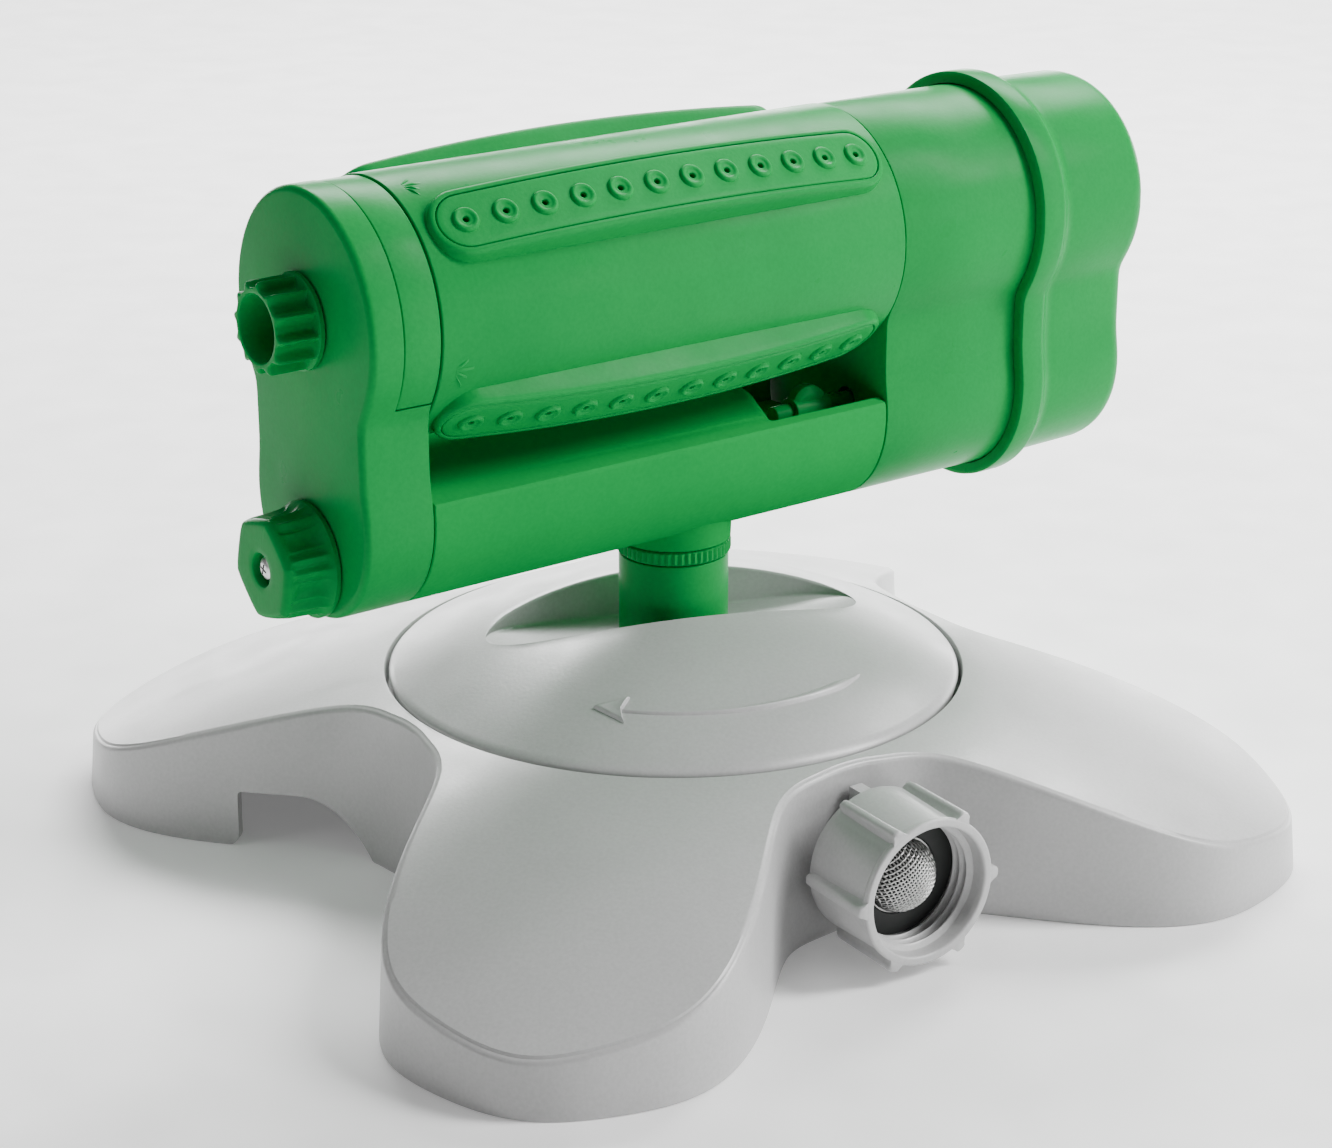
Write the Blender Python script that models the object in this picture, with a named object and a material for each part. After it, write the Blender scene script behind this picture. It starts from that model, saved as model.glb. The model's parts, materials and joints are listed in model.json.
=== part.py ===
"""Drum lawn sprinkler on a four-lobed base.

The base stands on the floor with its lobes on the X and Y axes. The hose nut sits in the notch
between the +X and -Y lobes. A green post carries the head, which swivels about Z. The head holds a
drum that swings about the head's long axis, four rows of nozzles, a flow knob and the gear train
that drives the drum. Lengths below are in millimetres and angles in degrees.
"""

import math

import bmesh
import bpy
from mathutils import Euler, Matrix, Vector

MM = 0.001
GAP = 0.3

# base
LOBE_WAVES = (103.56, 39.95, 3.10, -4.58, -0.77, 1.80)
DISC_R = 66.3
RIM_Z = 39.0
BASE_WALL = 2.6
RECESS_FLOOR_Z = 33.3
SKIRT_DRAFT = 1.1
OUTLINE_STEPS = 64
ARCH_HEIGHT = 13.6
ARCH_START_X = -94.2
ARCH_BEND_X = -79.8
ARCH_END_X = -61.1
ARCH_FOOT_CUT = 3.0
INLET_ANGLE = -45.0
INLET_Z = 19.3

# disc
DOME_RISE = 17.7
DISC_WALL = 2.4
TROUGH_ANGLE = 29.0
TROUGH_HALF_LENGTH = 44.5
TROUGH_HALF_WIDTH = 16.3
TROUGH_FLOOR_Z = 44.6
TROUGH_END_RISE = 4.0

# post and swivel
POST_R = 12.6
POST_TOP_Z = 66.1
DETENT_TOP_Z = 69.6
DETENT_TEETH = 30
RISER_TUBE_R = 8.6
RISER_TUBE_BORE = 6.6

# hose nut
NUT_FACE = 97.8
NUT_LENGTH = 21.0
NUT_R = 16.0
NUT_BORE = 13.9
NUT_RIBS = 6
NUT_RIB_R = 18.5

# head: s runs along the head's axis, away from the knobs
HEAD_ANGLE = 48.3
HEAD_Z = 135.7
DRUM_R = 27.8
DRUM_BORE = 25.0
LOWER_R = 22.7
LOWER_Z = -41.5
WAIST_HALF = 21.7
WALL = 2.6
FACE_S = -94.2
PLATE_S = -86.9
BLOCK_S = -78.1
DRUM_START = -77.8
DRUM_END = 43.6
HOUSING_START = 43.9
HOUSING_END = 92.0
FLANGE_START = 82.8
FLANGE_END = 90.0
CAP_END = 119.6
FLANGE_PROUD = 3.0
STEP_Z = -15.0
DECK_EDGE_Z = -37.3
DECK_Z = -34.9
POCKET_START = 12.3

# nozzle rows
ROW_CENTRE = -17.0
ROW_PITCH = 9.22
ROW_COUNT = 12
ROW_PEAK_R = 32.6
ROW_DROP = 2.6
STRIP_HALF_WIDTH = 6.1
BORDER_HALF_WIDTH = 7.6
STRIP_THICK = 1.8
NOZZLE_R = 2.6
NOZZLE_RISE = 0.8
NOZZLE_HOLE_R = 0.6

# knobs and valve
VALVE_Z = -51.4
DRUM_KNOB_LENGTH = 10.6
DRUM_KNOB_RIBS = 12
FLOW_KNOB_LENGTH = 12.3
FLOW_KNOB_CORNERS = 6

# gear train
MODULE = 1.25
WHEEL_TEETH = 24
PINION_TEETH = 8
DRUM_GEAR_TEETH = 29
UPPER_AXLE_Z = -(DRUM_GEAR_TEETH + PINION_TEETH) * MODULE / 2
LOWER_AXLE_Z = UPPER_AXLE_Z - (WHEEL_TEETH + PINION_TEETH) * MODULE / 2
TURBINE_BLADES = 10
PLATE_SCREWS = ((19.0, 10.5), (19.0, -10.5))

GREEN = (0.008, 0.36, 0.065)
GREY = (0.50, 0.51, 0.51)
WHITE = (0.75, 0.75, 0.72)
BLACK = (0.02, 0.02, 0.02)
STEEL = (0.62, 0.62, 0.62)


# ---- scene helpers -------------------------------------------------------------------------------

def clear_scene():
    for item in list(bpy.data.objects):
        bpy.data.objects.remove(item)


def plastic(name, colour, roughness=0.35, metallic=0.0):
    """One Principled material."""
    material = bpy.data.materials.new(name)
    material.use_nodes = True
    shader = material.node_tree.nodes["Principled BSDF"]
    shader.inputs["Base Color"].default_value = (*colour, 1.0)
    shader.inputs["Roughness"].default_value = roughness
    shader.inputs["Metallic"].default_value = metallic
    return material


def empty(name, location, rotation=(0, 0, 0), parent=None):
    """A frame that pieces hang from."""
    item = bpy.data.objects.new(name, None)
    item.location = Vector(location) * MM
    item.rotation_euler = Euler([math.radians(angle) for angle in rotation])
    item.parent = parent
    bpy.context.collection.objects.link(item)
    return item


def solid(name, shape, material=None, parent=None, location=(0, 0, 0), rotation=(0, 0, 0)):
    """An object from (vertices in millimetres, faces)."""
    vertices, faces = shape
    mesh = bpy.data.meshes.new(name)
    mesh.from_pydata([Vector(point) * MM for point in vertices], [], faces)
    work = bmesh.new()
    work.from_mesh(mesh)
    bmesh.ops.recalc_face_normals(work, faces=work.faces)
    work.to_mesh(mesh)
    work.free()
    mesh.shade_smooth()
    mesh.set_sharp_from_angle(angle=math.radians(35))
    if material:
        mesh.materials.append(material)
    item = bpy.data.objects.new(name, mesh)
    item.location = Vector(location) * MM
    item.rotation_euler = Euler([math.radians(angle) for angle in rotation])
    item.parent = parent
    bpy.context.collection.objects.link(item)
    return item


def tool(name, shape, parent=None, location=(0, 0, 0), rotation=(0, 0, 0)):
    """A hidden operand for a Boolean."""
    item = solid(name, shape, None, parent, location, rotation)
    item.hide_render = True
    item.display_type = 'WIRE'
    return item


def combine(target, operation, *operands):
    """Add one exact Boolean for each operand."""
    for operand in operands:
        modifier = target.modifiers.new(operation.lower(), 'BOOLEAN')
        modifier.operation = operation
        modifier.solver = 'EXACT'
        modifier.object = operand
    return target


def cut(target, *operands):
    return combine(target, 'DIFFERENCE', *operands)


def join(target, *operands):
    return combine(target, 'UNION', *operands)


# ---- shapes --------------------------------------------------------------------------------------

def turned(profile, steps=32):
    """Turn a closed (radius, height) profile about Z. Points at radius 0 become poles."""
    vertices = []
    rings = []
    for radius, height in profile:
        if radius == 0:
            rings.append([len(vertices)] * steps)
            vertices.append((0, 0, height))
            continue
        ring = []
        for step in range(steps):
            angle = math.tau * step / steps
            ring.append(len(vertices))
            vertices.append((radius * math.cos(angle), radius * math.sin(angle), height))
        rings.append(ring)
    faces = []
    for here, there in zip(rings, rings[1:] + rings[:1]):
        for step in range(steps):
            after = (step + 1) % steps
            corners = [here[step], here[after], there[after], there[step]]
            corners = [c for i, c in enumerate(corners) if c not in corners[:i]]
            if len(corners) > 2:
                faces.append(corners)
    return vertices, faces


def rod(radius, start, end, steps=20):
    return turned([(0, start), (radius, start), (radius, end), (0, end)], steps)


def tube(outer, inner, start, end, steps=32):
    return turned([(outer, start), (outer, end), (inner, end), (inner, start)], steps)


def ring_seal(middle_r, wire_r, height, steps=18, sides=5):
    """An O-ring about Z."""
    profile = []
    for side in range(sides):
        angle = math.tau * side / sides
        profile.append((middle_r + wire_r * math.cos(angle), height + wire_r * math.sin(angle)))
    return turned(profile, steps)


def lofted(loops, capped=True):
    """Skin equal loops in order. Uncapped, the last loop joins the first."""
    count = len(loops[0])
    vertices = [point for loop in loops for point in loop]
    faces = []
    last = len(loops) - 1 if capped else len(loops)
    for row in range(last):
        here = row * count
        there = (row + 1) % len(loops) * count
        for step in range(count):
            after = (step + 1) % count
            faces.append((here + step, here + after, there + after, there + step))
    if capped:
        faces.append(tuple(range(count)))
        faces.append(tuple(range(len(vertices) - count, len(vertices))))
    return vertices, faces


def prism(outline, start, end):
    """Extrude a closed (x, y) outline along Z."""
    return lofted([[(x, y, start) for x, y in outline], [(x, y, end) for x, y in outline]])


def block(low, high):
    outline = [(low[0], low[1]), (high[0], low[1]), (high[0], high[1]), (low[0], high[1])]
    return prism(outline, low[2], high[2])


def merged(shapes):
    """Several closed bodies in one operand."""
    vertices = []
    faces = []
    for points, polygons in shapes:
        start = len(vertices)
        vertices += points
        faces += [[start + corner for corner in polygon] for polygon in polygons]
    return vertices, faces


def moved(shape, matrix):
    vertices, faces = shape
    return [tuple(matrix @ Vector(point)) for point in vertices], faces


def gear_outline(teeth, phase, addendum=0.80, dedendum=1.10):
    """Straight-flanked teeth with clearance on every side, one tooth at the phase angle."""
    pitch_r = teeth * MODULE / 2
    tooth = math.tau / teeth
    root_r = pitch_r - dedendum * MODULE
    tip_r = pitch_r + addendum * MODULE
    points = []
    for number in range(teeth):
        centre = math.radians(phase) + tooth * number
        for radius, half in ((root_r, -0.25), (tip_r, -0.08), (tip_r, 0.08), (root_r, 0.25)):
            angle = centre + half * tooth
            points.append((radius * math.cos(angle), radius * math.sin(angle)))
    return points


# ---- base ----------------------------------------------------------------------------------------

def lobe_radius(angle):
    """Plan radius of the base's upper edge: a lobe on every quarter turn."""
    radius = 0.0
    for number, swing in enumerate(LOBE_WAVES):
        radius += swing * math.cos(4 * number * angle)
    return radius


def base_outline(offset=0.0):
    """The base's edge in plan, evenly spaced along its length and moved in by offset."""
    fine = 1440
    dense = []
    for step in range(fine):
        angle = math.tau * step / fine
        radius = lobe_radius(angle)
        dense.append(Vector((radius * math.cos(angle), radius * math.sin(angle))))
    lengths = [0.0]
    for step in range(fine):
        lengths.append(lengths[-1] + (dense[(step + 1) % fine] - dense[step]).length)
    points = []
    place = 0
    for step in range(OUTLINE_STEPS):
        target = lengths[-1] * step / OUTLINE_STEPS
        while lengths[place + 1] < target:
            place += 1
        tangent = (dense[(place + 1) % fine] - dense[place - 1]).normalized()
        inward = Vector((-tangent.y, tangent.x))
        points.append(dense[place] + inward * offset)
    return points


def base_height(radius):
    """Height of the base's upper surface."""
    out = max(radius / DISC_R - 1.0, 0.0)
    return RIM_Z - DISC_R * (0.2022 * out + 0.1232 * out * out)


def base_shell(material, parent):
    """Sunken middle for the disc, arched lobes and a skirt, hollow below."""
    edge = base_outline()
    foot = base_outline(-SKIRT_DRAFT)
    foot_inside = base_outline(BASE_WALL - SKIRT_DRAFT)
    edge_inside = base_outline(BASE_WALL)
    aim = [point.normalized() for point in edge]
    rim_r = DISC_R + 0.7

    def circle(radius, height):
        return [(way.x * radius, way.y * radius, height) for way in aim]

    def between(share, outline, start_r, drop):
        points = []
        for way, point in zip(aim, outline):
            spot = (way * start_r).lerp(point, share)
            points.append((spot.x, spot.y, base_height(spot.length) - drop))
        return points

    def at(outline, drop):
        return [(p.x, p.y, base_height(q.length) - drop) for p, q in zip(outline, edge)]

    loops = [
        circle(14.0, RECESS_FLOOR_Z),
        circle(DISC_R + 0.3, RECESS_FLOOR_Z),
        circle(rim_r, RIM_Z - 0.2),
        between(0.45, edge, rim_r, 0.0),
        at(base_outline(1.4), 0.0),
        at(edge, 1.1),
        [(p.x, p.y, 0.0) for p in foot],
        [(p.x, p.y, 0.0) for p in foot_inside],
        at(edge_inside, BASE_WALL + 0.8),
        between(0.5, edge_inside, DISC_R - 2.0, BASE_WALL),
        circle(DISC_R - 1.0, RIM_Z - BASE_WALL - 0.4),
        circle(DISC_R - 2.3, RECESS_FLOOR_Z - BASE_WALL),
        circle(14.0, RECESS_FLOOR_Z - BASE_WALL),
    ]
    shell = solid("base_shell", lofted(loops, capped=False), material, parent)

    arch = [(ARCH_START_X - ARCH_FOOT_CUT, -5.0)]
    fall = ARCH_HEIGHT / (ARCH_END_X - ARCH_BEND_X) ** 2
    for step in range(9, -1, -1):
        past = (ARCH_END_X - ARCH_BEND_X) * 1.17 * step / 9
        arch.append((ARCH_BEND_X + past, ARCH_HEIGHT - fall * past * past))
    arch += [(ARCH_START_X + 0.8, ARCH_HEIGHT), (ARCH_START_X, ARCH_HEIGHT - 0.8)]
    for step in range(4):
        angle = math.radians(30 * step)
        arch.append((ARCH_START_X - ARCH_FOOT_CUT * (1 - math.cos(angle)),
                     ARCH_FOOT_CUT * (1 - math.sin(angle))))
    upright = Matrix.Rotation(math.radians(90), 4, 'X')
    standing = moved(prism(arch, 28.0, 62.0), upright)
    arches = []
    for turn in (0, 180, 270):
        arches.append(moved(standing, Matrix.Rotation(math.radians(turn), 4, 'Z')))
    inlet = []
    for step in range(20):
        angle = math.radians(18 * step)
        inlet.append((10.4 * math.cos(angle), 10.4 * math.sin(angle)))
    lying = moved(prism(inlet, 58.0, 82.0), Matrix.Rotation(math.radians(90), 4, 'Z')
                  @ Matrix.Rotation(math.radians(90), 4, 'X'))
    facing = Matrix.Rotation(math.radians(INLET_ANGLE), 4, 'Z')
    arches.append(moved(lying, Matrix.Translation((0, 0, INLET_Z)) @ facing))
    cut(shell, tool("skirt_arches", merged(arches), parent))
    screws = [rod(1.9, RECESS_FLOOR_Z - 6, RECESS_FLOOR_Z + 3, 8)]
    places = [moved(screws[0], Matrix.Translation(spot)) for spot in screw_spots()]
    cut(shell, tool("floor_screw_holes", merged(places), parent))
    return shell


def screw_spots():
    """Three places around the elbow's flange."""
    spots = []
    for number in range(3):
        angle = math.radians(15 + 120 * number)
        spots.append(Vector((21.0 * math.cos(angle), 21.0 * math.sin(angle), 0)))
    return spots


def lock_disc(material, parent):
    """Low dome with a boat-shaped hollow and a hole for the post."""
    rings = 5
    outer = []
    inner = []
    for step in range(rings + 1):
        radius = 11.0 + (DISC_R - 11.4) * step / rings
        rise = DOME_RISE * (1 - (radius / DISC_R) ** 2)
        outer.append((radius, RIM_Z + rise))
        inner.append((max(radius - 2.0, 11.0), RIM_Z + rise - DISC_WALL))
    skirt = [(DISC_R - 0.4, RIM_Z - 1.0), (DISC_R - 1.6, RECESS_FLOOR_Z + GAP)]
    skirt += [(DISC_R - 3.8, RECESS_FLOOR_Z + GAP)]
    profile = outer + skirt + inner[::-1]
    disc = solid("lock_disc", turned(profile, 40), material, parent)

    under = [(radius, height - DISC_WALL / 2) for radius, height in outer]
    dome = tool("disc_under_dome",
                turned([(11.0, 30.0)] + under + [(DISC_R - 0.4, 30.0)], 36), parent)
    floor = boat(TROUGH_HALF_LENGTH + 2.2, TROUGH_HALF_WIDTH + 2.2, -2.2, 70.0)
    boat_wall = tool("trough_wall", floor, parent, rotation=(0, 0, TROUGH_ANGLE))
    combine(boat_wall, 'INTERSECT', dome)
    hollow = boat(TROUGH_HALF_LENGTH, TROUGH_HALF_WIDTH, 0.0, 75.0)
    hollow_tool = tool("trough_hollow", hollow, parent, rotation=(0, 0, TROUGH_ANGLE))
    hub = tool("post_hole", rod(13.0, 20.0, 80.0, 32), parent)
    join(disc, boat_wall)
    cut(disc, hollow_tool, hub)
    return disc


def boat(half_length, half_width, lift, top):
    """An ellipse in plan with a floor that rises to both ends."""
    rows = []
    steps = 10
    for step in range(steps + 1):
        along = -half_length * math.cos(math.pi * step / steps)
        across = half_width * math.sqrt(max(1 - (along / half_length) ** 2, 0))
        rows.append((along, across))

    def floor(along):
        return TROUGH_FLOOR_Z + lift + TROUGH_END_RISE * (along / TROUGH_HALF_LENGTH) ** 2

    return crowned(rows, floor, lambda along: top)


def crowned(rows, bottom, top):
    """A bar on the rows (along, half width), pointed at both ends, with curved top and bottom."""
    inside = rows[1:-1]
    ends = (rows[0][0], rows[-1][0])
    layers = []
    vertices = []
    for height in (bottom, top):
        start = len(vertices)
        vertices.append((ends[0], 0, height(ends[0])))
        for along, across in inside:
            vertices.append((along, across, height(along)))
            vertices.append((along, -across, height(along)))
        vertices.append((ends[1], 0, height(ends[1])))
        left = [start] + [start + 1 + 2 * i for i in range(len(inside))] + [len(vertices) - 1]
        right = [start] + [start + 2 + 2 * i for i in range(len(inside))] + [len(vertices) - 1]
        layers.append((left, right))
    faces = []
    for left, right in layers:
        for i in range(len(left) - 1):
            corners = [left[i], left[i + 1], right[i + 1], right[i]]
            faces.append([c for n, c in enumerate(corners) if c not in corners[:n]])
    for side in (0, 1):
        low = layers[0][side]
        high = layers[1][side]
        for i in range(len(low) - 1):
            faces.append([low[i], low[i + 1], high[i + 1], high[i]])
    return vertices, faces


def water_inlet(grey, white, black, steel, green, parent):
    """Elbow under the recess, its screws, the riser tube, the post and its detent ring."""
    facing = (0, 90, INLET_ANGLE)
    flange_top = RECESS_FLOOR_Z - BASE_WALL - GAP
    upright = [(0, INLET_Z - 10.2), (10.4, INLET_Z - 10.2), (10.4, 26.6), (24.5, 26.6),
               (24.5, flange_top), (0, flange_top)]
    elbow = solid("inlet_elbow", turned(upright, 28), grey, parent)
    pipe = turned([(0, -8.0), (9.6, -8.0), (9.6, 81.0), (12.4, 81.0), (12.4, 83.2), (9.6, 83.2),
                   (9.6, 84.0), (0, 84.0)], 22)
    lugs = merged([block((-14.6, -1.6, 71.0), (-9.0, 1.6, 76.2)),
                   block((9.0, -1.6, 71.0), (14.6, 1.6, 76.2))])
    join(elbow, tool("elbow_pipe", pipe, parent, (0, 0, INLET_Z), facing),
         tool("elbow_lugs", lugs, parent, (0, 0, INLET_Z), facing))
    socket = turned([(0, INLET_Z - 3.1), (7.4, INLET_Z - 3.1), (7.4, 28.4), (8.9, 28.4), (8.9, 40.0),
                     (0, 40.0)], 18)
    cut(elbow, tool("elbow_socket", socket, parent, rotation=(0, 0, 7)),
        tool("elbow_pipe_bore", rod(7.3, -2.7, 90.0, 18), parent, (0, 0, INLET_Z), facing))
    holes = [moved(rod(1.9, 20.0, 35.0, 8), Matrix.Translation(spot)) for spot in screw_spots()]
    cut(elbow, tool("elbow_screw_holes", merged(holes), parent))
    for number, spot in enumerate(screw_spots(), 1):
        screw = turned([(0, 23.4), (3.1, 23.4), (3.1, 26.3), (1.5, 26.3), (1.5, 35.6), (0, 35.6)], 10)
        solid(f"elbow_screw_{number}", screw, steel, parent, spot)
    solid("riser_tube", turned([
        (RISER_TUBE_R, 29.0), (RISER_TUBE_R, 77.4), (9.7, 77.4), (9.7, 78.0), (RISER_TUBE_BORE, 78.0),
        (RISER_TUBE_BORE, 29.0)], 20), white, parent)
    solid("riser_post", turned([
        (17.5, 33.6), (17.5, 36.0), (POST_R, 36.0), (POST_R, POST_TOP_Z), (9.0, POST_TOP_Z),
        (9.0, 33.6)], 28), green, parent)
    solid("detent_ring", serrated_ring(), green, parent)
    solid("swivel_seal", ring_seal(9.55, 0.6, 73.0), black, parent)


def serrated_ring():
    """Short ring with pointed teeth round its outside."""
    outline = []
    for number in range(DETENT_TEETH * 2):
        angle = math.tau * number / (DETENT_TEETH * 2)
        radius = 13.2 if number % 2 == 0 else 12.7
        outline.append((radius * math.cos(angle), radius * math.sin(angle)))
    bore = [(9.0 * x / math.hypot(x, y), 9.0 * y / math.hypot(x, y)) for x, y in outline]
    low = POST_TOP_Z + GAP
    loops = [[(x, y, low) for x, y in outline], [(x, y, DETENT_TOP_Z) for x, y in outline],
             [(x, y, DETENT_TOP_Z) for x, y in bore], [(x, y, low) for x, y in bore]]
    return lofted(loops, capped=False)


def hose_nut(grey, black, steel, parent):
    """Six-ribbed coupling nut with its washer and domed screen; built along Z, face at the top."""
    start = NUT_FACE - NUT_LENGTH
    profile = [(NUT_R + 0.6, start + 0.8), (NUT_R, NUT_FACE), (NUT_BORE, NUT_FACE),
               (NUT_BORE, start + 3.9), (10.0, start + 3.9), (10.0, start), (NUT_R, start)]
    nut = solid("hose_nut", turned(profile, 30), grey, parent)
    rib = prism([(15.0, -1.7), (NUT_RIB_R, -1.1), (NUT_RIB_R, 1.1), (15.0, 1.7)],
                start + 2.0, NUT_FACE - 0.6)
    ribs = []
    for number in range(NUT_RIBS):
        turn = math.tau * number / NUT_RIBS + math.pi / 2
        ribs.append(moved(rib, Matrix.Rotation(turn, 4, 'Z')))
    join(nut, tool("nut_ribs", merged(ribs), parent))
    solid("hose_washer", tube(13.5, 8.4, 84.4, 86.8, 20), black, parent)
    dome = []
    for step in range(5):
        angle = math.radians(20 * step)
        dome.append((7.8 * math.cos(angle), 87.8 + 6.0 * math.sin(angle)))
    inside = [(radius - 0.5, height - 0.6) for radius, height in dome]
    rim = [(12.6, 87.1), (12.6, 87.8)]
    solid("inlet_screen", turned(rim + dome + inside[::-1], 18), steel, parent)


# ---- head ----------------------------------------------------------------------------------------

def half_width(height, inset):
    """Half width of the head's cross-section at a height, moved in by inset."""
    big = DRUM_R - 0.2 - inset
    small = LOWER_R - inset
    upper = math.sqrt(max(big ** 2 - height ** 2, 0.0))
    lower = math.sqrt(max(small ** 2 - (height - LOWER_Z) ** 2, 0.0))
    if height > 0:
        return upper
    if height < LOWER_Z:
        return lower
    waist = (WAIST_HALF - inset) * max(1 - (abs(height + 24) / 24.5) ** 8, 0.0) ** 0.5
    return 0.8 * math.log(sum(math.exp(width / 0.8) for width in (upper, lower, waist)) - 2)


def section(inset=0.0, top=None):
    """Closed (y, z) outline of the head, from the crest down the +y side, or from a lower top."""
    heights = []
    if top is None:
        for step in range(1, 7):
            heights.append((DRUM_R - 0.2 - inset) * math.cos(math.radians(15 * step)))
        heights.append(-7.5)
    else:
        heights.append(top)
    heights += [height for height in (-14.5, -19.5, -26.0, -34.0) if top is None or height < top - 2]
    heights.append(LOWER_Z)
    for step in range(1, 6):
        heights.append(LOWER_Z - (LOWER_R - inset) * math.sin(math.radians(15 * step)))
    side = [(half_width(height, inset), height) for height in heights]
    bottom = (0.0, LOWER_Z - LOWER_R + inset)
    crest = [(0.0, DRUM_R - 0.2 - inset)] if top is None else []
    return crest + side + [bottom] + [(-y, z) for y, z in reversed(side)]


def along_head(outlines):
    """Loft (s, outline) pairs along the head's axis."""
    return lofted([[(s, y, z) for y, z in outline] for s, outline in outlines])


def on_axis(shape, height=0.0, across=0.0):
    """Turn a shape built along Z so that it lies along the head's axis."""
    matrix = Matrix.Translation((0, across, height)) @ Matrix.Rotation(math.radians(90), 4, 'Y')
    return moved(shape, matrix)


def end_plate(green, head):
    """Front cover: thin at the top, thick below the step, open at the back."""
    outer = along_head([(FACE_S, section(1.0)), (FACE_S + 0.9, section()), (BLOCK_S, section())])
    plate = solid("end_plate", outer, green, head)
    inner = along_head([(FACE_S + 3.0, section(WALL)), (BLOCK_S + 5, section(WALL))])
    upper = block((PLATE_S, -40, STEP_Z), (BLOCK_S + 8, 40, 40))
    bores = merged([on_axis(rod(7.2, -110, -70)), on_axis(rod(3.8, -110, -70), VALVE_Z)])
    cut(plate, tool("plate_hollow", inner, head), tool("plate_upper", upper, head),
        tool("plate_bores", bores, head))


def bearing_collar(green, white, black, head):
    """Fixed ring between the cover and the drum, with the drum's front bush in its web."""
    profile = [(27.4, PLATE_S + GAP), (27.4, BLOCK_S), (24.4, BLOCK_S), (24.4, -80.6), (10.0, -80.6),
               (10.0, -84.0), (24.4, -84.0), (24.4, PLATE_S + GAP)]
    collar = solid("bearing_collar", on_axis(turned(profile, 34)), green, head)
    notch = [(-40.0, STEP_Z + GAP)]
    for step in range(9):
        angle = math.radians(220 + 100 * step / 8)
        notch.append((17.5 * math.cos(angle), 17.5 * math.sin(angle)))
    notch[1] = (notch[1][0], STEP_Z + GAP)
    notch[-1] = (notch[-1][0], STEP_Z + GAP)
    notch += [(40.0, STEP_Z + GAP), (40.0, -50.0), (-40.0, -50.0)]
    cut(collar, tool("collar_notch", along_head([(-95.0, notch), (-70.0, notch)]), head))
    bush = [(9.7, -84.8), (9.7, -80.0), (7.0, -80.0), (7.0, -84.8)]
    solid("front_bush", on_axis(turned(bush, 20)), white, head)


def cradle(green, head):
    """Lower body under the drum: a deck, two side walls and the swivel neck."""
    outer = cradle_outline(0.0)
    shape = along_head([(BLOCK_S + GAP, outer), (HOUSING_START - GAP, outer)])
    body = solid("cradle", shape, green, head)
    inner = cradle_outline(WALL)
    hollow = along_head([(BLOCK_S - 10, inner), (HOUSING_START + 10, inner)])
    neck_top = LOWER_Z - LOWER_R + 4.4
    neck_base = DETENT_TOP_Z + GAP - HEAD_Z
    neck = rod(13.3, neck_base, neck_top + 1.0, 28)
    cut(body, tool("cradle_hollow", hollow, head))
    join(body, tool("neck_outside", neck, head))
    pocket = block((POCKET_START, -17.8, -46.0), (HOUSING_START + 5, 17.8, -30.0))
    bore = turned([(0, neck_base - 5), (10.4, neck_base - 5), (10.4, neck_top), (12.9, neck_top),
                   (12.9, neck_top + 8), (0, neck_top + 8)], 20)
    cut(body, tool("neck_bore", bore, head),
        tool("pocket_opening", pocket, head))


def cradle_outline(inset):
    """Cradle section: the head's lower part under a deck that is flat in the middle."""
    low = section(inset, DECK_EDGE_Z - inset * 1.2)
    side = low[0][0]
    deck_y = 16.0 - inset * 0.2
    return [(-deck_y, DECK_Z - inset), (0.0, DECK_Z - inset), (deck_y, DECK_Z - inset)] + [
        (side, DECK_EDGE_Z - inset * 1.2)] + low[1:]


def gear_housing(green, white, head):
    """Housing behind the drum, open to the cap, with a bulkhead for the drum's rear bush."""
    outer = along_head([(HOUSING_START, section()), (HOUSING_END, section())])
    body = solid("gear_housing", outer, green, head)
    inner = along_head([(HOUSING_START + 3.0, section(WALL)), (HOUSING_END + 9, section(WALL))])
    bores = merged([on_axis(rod(10.0, 30, 60, 20)), on_axis(rod(6.3, 30, 60, 16), VALVE_Z),
                    on_axis(rod(3.2, 30, 60, 16), -40.0, -8.0)])
    bosses = [on_axis(rod(2.4, HOUSING_START + 1.0, 80.6, 10), *spot) for spot in PLATE_SCREWS]
    threads = [on_axis(rod(1.7, 70.0, 90.0, 10), *spot) for spot in PLATE_SCREWS]
    cut(body, tool("housing_hollow", inner, head), tool("bulkhead_bores", bores, head))
    join(body, tool("plate_bosses", merged(bosses), head))
    cut(body, tool("boss_holes", merged(threads), head))
    bush = [(9.7, HOUSING_START + 0.4), (9.7, HOUSING_START + 5.0), (8.3, HOUSING_START + 5.0),
            (8.3, HOUSING_START + 0.4)]
    solid("rear_bush", on_axis(turned(bush, 20)), white, head)


def housing_cap(green, head):
    """End cap with a proud flange that slips over the housing's end."""
    outlines = [(FLANGE_START, section(-2.2)), (FLANGE_START + 0.8, section(-FLANGE_PROUD)),
                (FLANGE_END, section(-FLANGE_PROUD + 0.1)), (FLANGE_END + 3.0, section(-0.3)),
                (FLANGE_END + 4.5, section(0.0)), (CAP_END - 3.0, section(0.5)),
                (CAP_END - 0.9, section(1.4)), (CAP_END, section(3.2))]
    cap = solid("housing_cap", along_head(outlines), green, head)
    lip = along_head([(FLANGE_START - 5, section(-GAP)), (HOUSING_END + GAP, section(-GAP))])
    inner = along_head([(FLANGE_START, section(WALL)), (CAP_END - 3.2, section(WALL + 1.0))])
    cut(cap, tool("cap_lip", lip, head), tool("cap_hollow", inner, head))


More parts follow.
